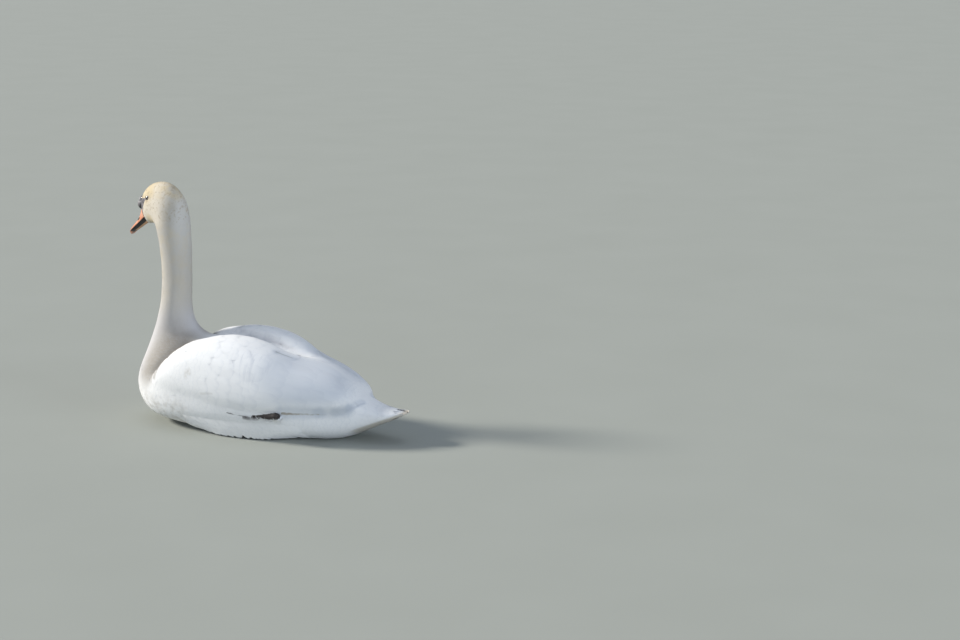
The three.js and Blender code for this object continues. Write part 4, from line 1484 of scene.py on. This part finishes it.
# %% [markdown]
# Small feathers stand about as far apart everywhere in their tract, but in no rows. Points are
# drawn at random on the surface, and one is kept only if no other that was kept is too near.

# %% Scatter
BILL_MARGIN = 0.8  # mm kept clear about the bill
BILL_ROOT = -14  # mm along the bill, where its base ends inside the head
DRAWN = 3.2  # points drawn for each square of the wanted distance
LEVEL = 1.5  # wanted distances are sorted into levels by this factor, each spaced on its own

into_bill = np.array(bill_place.inverted())
upper_rows, lower_rows = np.array(UPPER_BILL, float).T, np.array(LOWER_BILL, float).T


def grows_feathers(points, faces, shares, rng):
    """True where a root lies neither on bare skin nor inside the bill."""
    own = (points @ into_bill[:3, :3].T + into_bill[:3, 3]) / MM
    x, y, z = own.T
    half = np.interp(x, upper_rows[0], upper_rows[1]) + BILL_MARGIN
    over = np.interp(x, upper_rows[0], upper_rows[2]) + BILL_MARGIN
    under = np.interp(x, lower_rows[0], lower_rows[2]) - BILL_MARGIN
    in_bill = (np.abs(y) < half) & (z < over) & (z > under) & (x > BILL_ROOT)
    in_knob = np.linalg.norm((own - KNOB_AT) / (np.array(KNOB_RADII) + BILL_MARGIN), axis=1) < 1
    feathered = envelope.field(bare, faces, shares) < rng.uniform(0.15, 0.7, len(points))
    return feathered & ~in_bill & ~in_knob


def scatter(spacing, rng):
    """Roots on the envelope, spaced by a field in metres. Where the field is 0 there are none."""
    corners = envelope.places[envelope.triangles]
    sides = corners[:, 1] - corners[:, 0], corners[:, 2] - corners[:, 0]
    area = 0.5 * np.linalg.norm(np.cross(*sides), axis=1)
    at_corners = spacing[envelope.triangles]
    gap = np.where((at_corners > 0).all(1), at_corners.mean(1), 0)
    wanted = np.zeros(len(area))
    there = gap > 0
    wanted[there] = DRAWN * area[there] / gap[there] ** 2
    faces = np.repeat(np.arange(len(area)), rng.poisson(wanted))
    faces = rng.permutation(faces)
    a, b = rng.uniform(size=(2, len(faces)))
    over = a + b > 1
    a[over], b[over] = 1 - a[over], 1 - b[over]
    shares = np.stack([1 - a - b, a, b], 1)
    points = np.einsum("ij,ijk->ik", shares, corners[faces])
    clear = grows_feathers(points, faces, shares, rng)
    points, faces, shares = points[clear], faces[clear], shares[clear]
    kept = np.zeros(len(faces), bool)
    level = np.floor(np.log(gap[faces]) / math.log(LEVEL))
    for value in np.unique(level):
        members = np.flatnonzero(level == value)
        cell = LEVEL ** (value + 1)
        kept[members[far_apart(points[members], gap[faces[members]], cell)]] = True
    return points[kept], faces[kept], shares[kept]


# %% Spacing
def far_apart(points, gaps, cell):
    """Which points to keep so that each is its own gap away from those kept before."""
    keys = np.floor(points / cell).astype(int).tolist()
    grid = {}
    chosen = []
    around = [(i, j, k) for i in (-1, 0, 1) for j in (-1, 0, 1) for k in (-1, 0, 1)]
    for index, ((x, y, z), (i, j, k), gap) in enumerate(zip(points.tolist(), keys, gaps.tolist())):
        taken = any(
            (px - x) ** 2 + (py - y) ** 2 + (pz - z) ** 2 < gap * gap
            for di, dj, dk in around
            for px, py, pz in grid.get((i + di, j + dj, k + dk), ())
        )
        if not taken:
            grid.setdefault((i, j, k), []).append((x, y, z))
            chosen.append(index)
    return np.array(chosen, int)


# %% [markdown]
# Feathers grow in tracts. On the head and neck they are narrow blades, smallest on the face. On
# the trunk they are broad contour feathers with a frayed tip. Under each tract lies a second,
# sparser layer of wider ones, as the down does on the real bird, so that no skin shows in the
# gaps.

# %% Head and neck
NECK_PLACE = 7.2  # place on the spine where the blades begin
APART = ((0, 5, 7, 9, 12, 14, 16, 20), (8.0, 7.0, 5.0, 3.3, 2.6, 2.1, 1.7, 1.3))
BLADE = Kind([0, 0.3, 0.65, 1], [0.6, 1, 0.85, 0.14], 2, 0.12 * MM,
             slope=0.026, dip=0.7, sway=9, soft=0.92, wraps=False)

rng = np.random.default_rng(7)
apart = envelope.smoothed(np.interp(body_place, *APART) * MM, 6)  # between roots


def shorter(roots, most):
    """Feathers are shorter where the neck's base is tucked in, by this share at most."""
    return 1 - most * np.clip(1.4 * envelope.field(tuck, *roots[1:]), 0, 1)


slender = (body_place > NECK_PLACE) & ~folded
for name, sparser, widening, lift in (
    ("neck_feathers", 1.0, 1.6, 0.0),
    ("neck_down", 1.5, 2.6, -0.45 * MM),
):
    roots = scatter(np.where(slender, sparser * apart, 0.0), rng)
    size = envelope.field(apart, *roots[1:])
    length = shorter(roots, 0.7) * (2 * MM + 5.0 * size)
    lay_feathers(name, BLADE, roots, length, 0.8 * MM + widening * size, rng, lift=lift)

# %% Trunk
CONTOUR = Kind([0, 0.22, 0.5, 0.74, 0.9, 1], [0.3, 0.8, 1, 0.95, 0.72, 0.4], 4, 0.2 * MM,
               fringe=0.08, camber=0.02, slope=0.024, dip=0.65, sway=10, soft=0.92)
BELLY_APART = 20 * MM  # on the flat belly, which nobody sees

broad = (body_place < NECK_PLACE + 1.2) & ~folded & ~on_tail
flat_belly = (envelope.places[:, 2] < 3 * MM) & (envelope.normals[:, 2] < -0.8)
spacing = np.where(broad, apart, 0.0)
spacing[flat_belly] = BELLY_APART
roots = scatter(spacing, rng)
size = envelope.field(np.minimum(spacing, 9 * MM), *roots[1:])
lay_feathers("body_feathers", CONTOUR, roots, shorter(roots, 0.6) * 4.2 * size, 2.3 * size, rng)
roots = scatter(np.where(broad & ~flat_belly, 1.35 * apart, 0.0), rng)
size = envelope.field(apart, *roots[1:])
length = shorter(roots, 0.6) * 4.6 * size
lay_feathers("body_down", CONTOUR, roots, length, 3.4 * size, rng, lift=-0.7 * MM)

# %% [markdown]
# The folded wing is covered in rows like roof tiles. Small coverts stand on its leading edge,
# larger ones follow row by row, and the long quills of the arm and the hand come last and reach
# the tip. The scapulars lie over the wing's top as one broad group.

# %% Feathers of the wing
SMALL_COVERT = Kind([0, 0.25, 0.5, 0.75, 0.92, 1], [0.3, 0.8, 1, 0.92, 0.62, 0.2], 4, 0.2 * MM,
                    fringe=0.05, camber=0.02, slope=0.024, dip=0.65, sway=8, soft=0.93)
COVERT = Kind([0, 0.2, 0.4, 0.6, 0.78, 0.9, 0.97, 1],
              [0.3, 0.7, 0.92, 1, 0.95, 0.74, 0.45, 0.14], 6, 0.25 * MM,
              camber=0.01, tilt=0.004, slope=0.012, dip=0.85, sway=5, soft=0.94)
QUILL = Kind([0, 0.12, 0.25, 0.4, 0.55, 0.7, 0.82, 0.9, 0.96, 1],
             [0.4, 0.7, 0.85, 0.95, 1, 1, 0.92, 0.75, 0.5, 0.14], 6, 0.4 * MM,
             camber=0.01, tilt=0.005, slope=0.009, dip=0.85, sway=2, soft=0.94)
ROWS = [  # kind, back, lowest and highest up, length and width in mm
    (COVERT, 0.27, -0.12, 1.0, 50, 24),
    (COVERT, 0.315, -0.12, 1.0, 56, 26),
    (COVERT, 0.36, -0.12, 1.0, 62, 28),
    (COVERT, 0.405, -0.12, 1.0, 76, 30),
    (COVERT, 0.45, -0.12, 0.6, 92, 31),
    (QUILL, 0.51, -0.12, 0.58, 125, 32),
    (QUILL, 0.46, 0.50, 1.0, 150, 42),
    (QUILL, 0.59, -0.12, 0.54, 150, 32),
    (QUILL, 0.56, 0.46, 1.0, 165, 42),
    (QUILL, 0.67, -0.12, 0.50, 165, 30),
    (QUILL, 0.66, 0.40, 1.0, 165, 36),
]
SCAPULAR_ROWS = [  # back, length and width in mm
    (0.13, 44, 26), (0.18, 50, 30), (0.235, 56, 33), (0.295, 62, 36), (0.36, 70, 38),
    (0.43, 76, 38), (0.50, 76, 36), (0.57, 70, 32), (0.64, 50, 26),
]
SCAPULAR_UP = (0.3, 1.05)  # lowest and highest up
ROW_SHARE = 0.60  # distance between neighbours in a row, as a share of their width
BACK_SLANT = 0.03  # how much further back a row lies at the top than at the wing's lower edge
COVERT_END = 0.27  # how far back the small coverts reach
UNDER_APART, DOWN_APART = 13 * MM, 10 * MM  # on the wing's underside, and in its down


def row_of_roots(side, back, low, high, width):
    """Roots in one row up and over the wing, evenly spaced along it."""
    wing = wings[side]
    up = np.linspace(low, high, 80)
    backs = back + BACK_SLANT * (up - 0.5)
    places, *_ = wing.at(backs, up)
    reach = np.concatenate([[0], np.cumsum(np.linalg.norm(np.diff(places, axis=0), axis=1))])
    count = max(3, round(reach[-1] / (ROW_SHARE * width)))
    marks = (np.arange(count) + 0.5 + rng.uniform(-0.12, 0.12, count)) * reach[-1] / count
    up = np.interp(marks, reach, up)
    backs = back + BACK_SLANT * (up - 0.5) + rng.normal(0, 0.009, count)
    return wing.at(backs, up)


def chosen_roots(roots, keep):
    return tuple(part[keep] for part in roots)


def row_on(node, side, back, low, high, length, width):
    """A row's roots that stand on one node, and the length and width of its feathers."""
    *roots, met = row_of_roots(side, back, low, high, width * MM)
    on_node = owner[envelope.triangles[roots[1], 0]] == FLESH.index(f"{node}_{side}")
    roots = chosen_roots(roots, met & on_node)
    count = len(roots[0])
    return *roots, np.full(count, length * MM), np.full(count, width * MM)


def lay_rows(name, kind, rows):
    """All rows of one kind of feather as one piece."""
    *roots, lengths, widths = (np.concatenate(columns) for columns in zip(*rows))
    lay_feathers(name, kind, tuple(roots), lengths, widths, rng, material=wing_plumage)


# %% Wings
for side in wings:
    back, up = wings[side].measure(envelope.places)
    fore = (envelope.smoothed(on_wing[side], 3) > 0.12) & (back < COVERT_END)
    spacing = np.where(fore, (4.5 + 17 * np.clip(back, 0, 1)) * MM, 0.0)
    under = on_wing[side] & (back >= COVERT_END)
    under &= (up < -0.04) | (envelope.normals[:, 2] < -0.5)
    spacing[under] = UNDER_APART
    roots = scatter(spacing, rng)
    size = envelope.field(spacing, *roots[1:])
    lay_feathers(f"small_coverts_{side}", SMALL_COVERT, roots, 4.2 * size, 2.6 * size, rng,
                 material=wing_plumage)
    roots = scatter(np.where(on_side[side], DOWN_APART, 0.0), rng)
    lay_feathers(f"wing_down_{side}", CONTOUR, roots, 40 * MM, 24 * MM, rng,
                 material=wing_plumage, lift=-0.8 * MM)
    rows = {COVERT: [], QUILL: []}
    for kind, *row in ROWS:
        rows[kind].append(row_on("wing", side, *row))
    scapular_rows = [
        row_on("scapulars", side, back, *SCAPULAR_UP, *row) for back, *row in SCAPULAR_ROWS
    ]
    lay_rows(f"coverts_{side}", COVERT, rows[COVERT])
    lay_rows(f"quills_{side}", QUILL, rows[QUILL])
    lay_rows(f"scapular_feathers_{side}", COVERT, scapular_rows)

# %% [markdown]
# The tail is a short fan of stiff feathers, one layer seen from above and one from below. The
# outer vanes' tips step along its rim. The roots are hidden by soft coverts.

# %% Tail
TAIL_ROOT = 225 * MM
TAIL_FEATHERS = 11
ROOT_HALF = 55 * MM  # half the width of the fan at its root
TIP_EDGE = ((330, 345, 368, 392, 408), (49, 42, 34, 21, 6))  # x and half width in mm at the tips
RIM = {"x": (228, 252, 276, 300, 322, 342), "z": (64, 64, 65, 67, 70, 73),
       "end": (318, 340, 358, 376, 392, 404)}  # in mm, for the outer vanes
COVERT_LIMIT = 335 * MM  # x past which the tail has no soft coverts


def seen_from_side(x, z, side):
    """Roots on the surface as seen from one side, for x and z in metres."""
    starts = np.stack([x, np.full(len(x), side * 0.3), z], 1)
    return envelope.seen_from(starts, np.tile((0.0, -side * 1.0, 0.0), (len(x), 1)))


marks = np.linspace(-1, 1, TAIL_FEATHERS)
for label, height in (("upper", 1.0), ("under", -1.0)):
    y = marks * ROOT_HALF
    starts = np.stack([np.full(len(y), TAIL_ROOT), y, np.full(len(y), height)], 1)
    *roots, met = envelope.seen_from(starts, np.tile((0.0, 0.0, -height), (len(y), 1)))
    end = 408 - 60 * np.abs(marks) ** 1.5
    end_y = marks * np.interp(end, *TIP_EDGE)
    length = end * MM - TAIL_ROOT
    way = unit(np.stack([length, end_y * MM - y, -0.05 * length], 1))
    lay_feathers(f"tail_quills_{label}", QUILL, chosen_roots(roots, met), length[met], 30 * MM,
                 rng, material=wing_plumage, way=way[met], lift=-0.6 * MM)
for label, side in SIDES:
    x, z, end = (np.array(RIM[key], float) for key in ("x", "z", "end"))
    *roots, met = seen_from_side(x * MM, z * MM, side)
    lay_feathers(f"tail_rim_{label}", QUILL, chosen_roots(roots, met), (end - x)[met] * MM, 22 * MM,
                 rng, material=wing_plumage, lift=-0.3 * MM)
spacing = np.where(on_tail & (envelope.places[:, 0] < COVERT_LIMIT), 11 * MM, 0.0)
lay_feathers("tail_coverts", CONTOUR, scatter(spacing, rng), 46 * MM, 22 * MM, rng)

# %% [markdown]
# The legs are folded along the flanks. Only a dark strip of the left one shows between the wing
# and the belly. Leg and foot are bare: small dark scales with blacker joints between them. The
# feet lie forward under the belly's edge: three toes with their knuckles, a web between them, and
# a claw on each toe.

# %% Leg skin
SCALE_SIZE = 330.0  # scales to a metre
LEG_DARK, LEG_LIGHT = (0.018, 0.013, 0.013, 1), (0.046, 0.034, 0.033, 1)
LEG_JOINT = (0.012, 0.010, 0.010, 1)
CLAW_DARK, CLAW_LIGHT = (0.02, 0.018, 0.017, 1), (0.06, 0.05, 0.045, 1)

hide = Material("leg_skin")
place = hide.place()
cells = {"Vector": place, "Scale": SCALE_SIZE}
cells = hide.node("ShaderNodeTexVoronoi", {"feature": "DISTANCE_TO_EDGE"}, cells)
scales = hide.step(cells, 0.0, 0.10)
colour = hide.mix(hide.noise(place, 60.0, 3.0), LEG_DARK, LEG_LIGHT)
colour = hide.mix(scales, LEG_JOINT, colour)
rough = hide.bump(scales + hide.noise(place, 500.0, 2.0) * 0.3, 0.0006, 0.6)
hide.set(base_color=colour, roughness=0.62, normal=rough)
claw_horn = Material("claw")
colour = claw_horn.noise(claw_horn.place(), 400.0, 2.0)
claw_horn.set(base_color=claw_horn.mix(colour, CLAW_DARK, CLAW_LIGHT), roughness=0.4)
print("materials:", hide.material.name, claw_horn.material.name)

# %% Limbs
LEG_VOXEL, FOOT_VOXEL = 1.3 * MM, 1.2 * MM
WEB_THINNER = 1.2 * MM  # how far the foot's solid shrinks to leave the web between the toes
TOE_JOINTS = [  # along the foot: x, y, z, and how far the outer toes stand off, in mm
    (-3, 130, 50, 0), (-20, 121, 38, 4), (-48, 103, 21, 9), (-78, 88, 10.5, 12),
    (-110, 80, 6.5, 12.5), (-126, 78, 5, 9),
]
TOE_RADII = (5.5, 4.6, 3.8, 3.2, 2.7)
TOE_SHARE = 0.8  # how much of a radius a toe has across, and again in height
CLAW_LENGTH, CLAW_BEND = 7 * MM, 1.2 * MM


def rod(start, end, radius, flatness):
    """An elongated ball between two points in mm."""
    start, end = Vector(start) * MM, Vector(end) * MM
    deselect()
    bpy.ops.mesh.primitive_uv_sphere_add(
        segments=16, ring_count=10, radius=1, location=(start + end) / 2
    )
    made = bpy.context.object
    made.rotation_euler = (end - start).to_track_quat("Z", "Y").to_euler()
    half = (end - start).length / 2 + 0.6 * radius * MM
    made.scale = (radius * MM, radius * MM * flatness, half)
    apply_place()
    return made


def bent_claw(tip, way):
    """A cone that is bent over its length and set on a toe's tip."""
    deselect()
    bpy.ops.mesh.primitive_cone_add(
        vertices=12, radius1=1.7 * MM, radius2=0.15 * MM, depth=CLAW_LENGTH
    )
    claw = bpy.context.object
    bpy.ops.object.mode_set(mode="EDIT")
    bpy.ops.mesh.subdivide(number_cuts=2)
    bpy.ops.object.mode_set(mode="OBJECT")
    bent = coordinates(claw)
    bent[:, 0] += CLAW_BEND * (bent[:, 2] / CLAW_LENGTH + 0.5) ** 2
    set_coordinates(claw, bent)
    claw.rotation_euler = way.to_track_quat("Z", "X").to_euler()
    claw.location = tip + way * CLAW_LENGTH * 0.35
    select_only(claw)
    apply_place()
    return claw


def finished_limb(item, name, stands_for, voxel, calm):
    item.name = name
    add_modifier(item, "REMESH", mode="VOXEL", voxel_size=voxel)
    add_modifier(item, "SMOOTH", factor=0.5, iterations=calm)
    apply_modifiers(item)
    bpy.ops.object.shade_smooth()
    item.data.materials.clear()
    item.data.materials.append(hide.material)
    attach(item, "root")
    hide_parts(stands_for)
    print(name, len(item.data.polygons), "faces")


# %% Legs and feet
for label, side in SIDES:
    shank = merged_copy(["leg_" + label], "shank")
    finished_limb(shank, "leg_skin_" + label, "leg_" + label, LEG_VOXEL, 3)
    web = merged_copy(["foot_" + label], "web")
    add_modifier(web, "DISPLACE", strength=-WEB_THINNER, mid_level=0)
    apply_modifiers(web)
    parts, claws = [web], []
    for spread in (-1, 0, 1):
        joints = [(x, side * (y + spread * off), z) for x, y, z, off in TOE_JOINTS]
        for start, end, radius in zip(joints, joints[1:], TOE_RADII):
            parts.append(rod(start, end, radius * TOE_SHARE, TOE_SHARE))
        before, tip = (Vector(joint) * MM for joint in joints[-2:])
        claws.append(bent_claw(tip, (tip - before).normalized()))
    select_only(*parts)
    bpy.ops.object.join()
    finished_limb(bpy.context.object, "foot_skin_" + label, "foot_" + label, FOOT_VOXEL, 2)
    select_only(*claws)
    bpy.ops.object.join()
    claw = bpy.context.object
    claw.name = "claws_" + label
    bpy.ops.object.shade_smooth()
    claw.data.materials.append(claw_horn.material)
    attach(claw, "root")

# %% [markdown]
# Loose strands of down lie across the bare leg's lower edge, soft feathers hang over its upper
# edge, and a few curl round its heel. They hide the hard border between the leg and the plumage.
# Each one is draped: its middle line is looked up from the side, on whatever lies outermost, body
# or leg.

# %% Drape
WISP = Kind([0, 0.2, 0.45, 0.7, 0.88, 1], [0.5, 1, 0.9, 0.65, 0.4, 0.08], 2, 0.15 * MM,
            slope=0, dip=0, soft=0.3, wraps=False)


def outermost(x, z, side, limb):
    """The outer surface of the body or the limb, seen from the side."""
    places, *_ = seen_from_side(x, z, side)
    for index, (px, pz) in enumerate(zip(x, z)):
        hit, place, _, _ = limb.ray_cast(Vector((px, side * 0.3, pz)), Vector((0, -side, 0)))
        if hit and abs(place[1]) > abs(places[index, 1]):
            places[index] = place
    return places


def draped(name, kind, starts, ends, width, over, side, limb, surface=outermost):
    """Feathers on a surface over a limb, in mm: from starts to ends in x and z, and over it."""
    share = kind.stations[None, :, None]
    flat = (starts[:, None] * (1 - share) + ends[:, None] * share) * MM
    count, steps = flat.shape[:2]
    line = surface(flat[..., 0].ravel(), flat[..., 1].ravel(), side, limb)
    line = line.reshape(count, steps, 3)
    for _ in range(2):
        out = side * line[..., 1]
        out[:, 1:-1] = np.maximum(out[:, 1:-1], (out[:, :-2] + out[:, 2:]) / 2)
        line[..., 1] = side * out
    line[..., 1] += side * over * MM * smoothstep(share[..., 0], 0.0, 0.35)
    headings = unit(np.gradient(line, axis=1))
    _, faces, shares = envelope.nearest(line[:, 0])
    outward = 0.5 * unit(envelope.field(envelope.normals, faces, shares)) + (0, 0.5 * side, 0)
    normals = flat_on(np.broadcast_to(outward[:, None], line.shape), headings)
    root_uv = np.einsum("ij,ijk->ik", shares, skin_uv[envelope.loops[faces]])
    length = np.linalg.norm(line[:, -1] - line[:, 0], axis=1)
    sizes = length, np.broadcast_to(width * MM, count), np.zeros(count)
    build_vanes(name, kind, (line, normals, headings), sizes, root_uv, rng, None, 0.0)


# %% Strands over the legs
STRANDS, COVERS = 190, 26  # on each leg
SLIT_TOP = ((-40, 0, 30, 50, 70, 90, 113, 140), (73, 69, 65, 65.5, 69, 73.5, 78, 84))  # x, z in mm
HEEL_ROOTS = ((80, 47), (86, 47), (91, 49), (96, 51), (99, 47), (104, 52))
HEEL_REACHES = ((23, 15), (24, 18), (24, 20), (22, 20), (24, 20), (22, 18))

for label, side in SIDES:
    leg = bpy.data.objects["leg_skin_" + label]
    starts = np.stack([rng.uniform(18, 112, STRANDS), rng.uniform(47, 56, STRANDS)], 1)
    reach = rng.uniform(4, 12, STRANDS) + 11 * rng.uniform(0, 1, STRANDS) ** 5
    slants = np.stack([rng.normal(-0.35, 0.45, STRANDS), np.ones(STRANDS)], 1)
    ends = starts + reach[:, None] * slants
    width = rng.uniform(0.9, 2.2, STRANDS)
    draped("leg_strands_" + label, WISP, starts, ends, width, 1.2, side, leg)
    starts = np.array(HEEL_ROOTS, float)
    ends = starts + HEEL_REACHES
    draped("leg_heel_" + label, CONTOUR, starts, ends, 10.0, 1.0, side, leg)
    x = np.linspace(-34, 96, COVERS) + rng.normal(0, 1.5, COVERS)
    reach = rng.uniform(26, 33, COVERS)
    starts = np.stack([x, np.interp(x, *SLIT_TOP) + 9], 1)
    ends = np.stack([x + reach, np.interp(x + reach, *SLIT_TOP) + 4.5], 1)
    draped("leg_cover_" + label, CONTOUR, starts, ends, 11.0, 0.8, side, leg)

# %% [markdown]
# A swan that rests on the ground fluffs its belly feathers over its feet, and its side bulges out
# near the ground. The feathers are draped in four rows, one over the other, on a rounded surface
# that bulges most over the foot and meets the body at both ends.

# %% Belly fringe
FRINGE = 32  # feathers in a row
FRINGE_ROWS = ((44, 27), (36, 18), (28, 10), (20, 2.5))  # z of the roots and of the tips in mm
BULGE_TOP = 46 * MM
BULGE_X = (-155, -50, 40, 150)  # mm; it is fullest between the second and the third
BULGE_DEPTH, BULGE_FULLNESS = 52 * MM, 40 * MM  # how far it draws in, and how much less when full


def bulged(x, z, side, foot):
    """The belly's side as its loose feathers fill it out over the foot."""
    places = outermost(x, z, side, foot)
    top = outermost(x, np.full(len(x), BULGE_TOP), side, foot)[:, 1] * side
    full = smoothstep(x / MM, *BULGE_X[:2]) * (1 - smoothstep(x / MM, *BULGE_X[2:]))
    share = np.clip(1 - z / BULGE_TOP, 0, 1)
    filled = top - (BULGE_DEPTH - BULGE_FULLNESS * full) * share**2
    places[:, 1] = side * np.maximum(side * places[:, 1], filled)
    return places


for label, side in SIDES:
    foot = bpy.data.objects["foot_skin_" + label]
    rows = []
    for top, low in FRINGE_ROWS:
        x = np.linspace(BULGE_X[0] - 10, BULGE_X[-1] - 20, FRINGE) + rng.normal(0, 2.5, FRINGE)
        reach = rng.uniform(24, 32, FRINGE)
        tops, lows = top + rng.uniform(-4, 3, FRINGE), low + rng.uniform(0, 2, FRINGE)
        rows.append(np.stack([x, tops, x + reach, lows], 1))
    rows = np.concatenate(rows)
    starts, ends = rows[:, :2], rows[:, 2:]
    draped("belly_fringe_" + label, CONTOUR, starts, ends, 20.0, 0.35, side, foot, bulged)
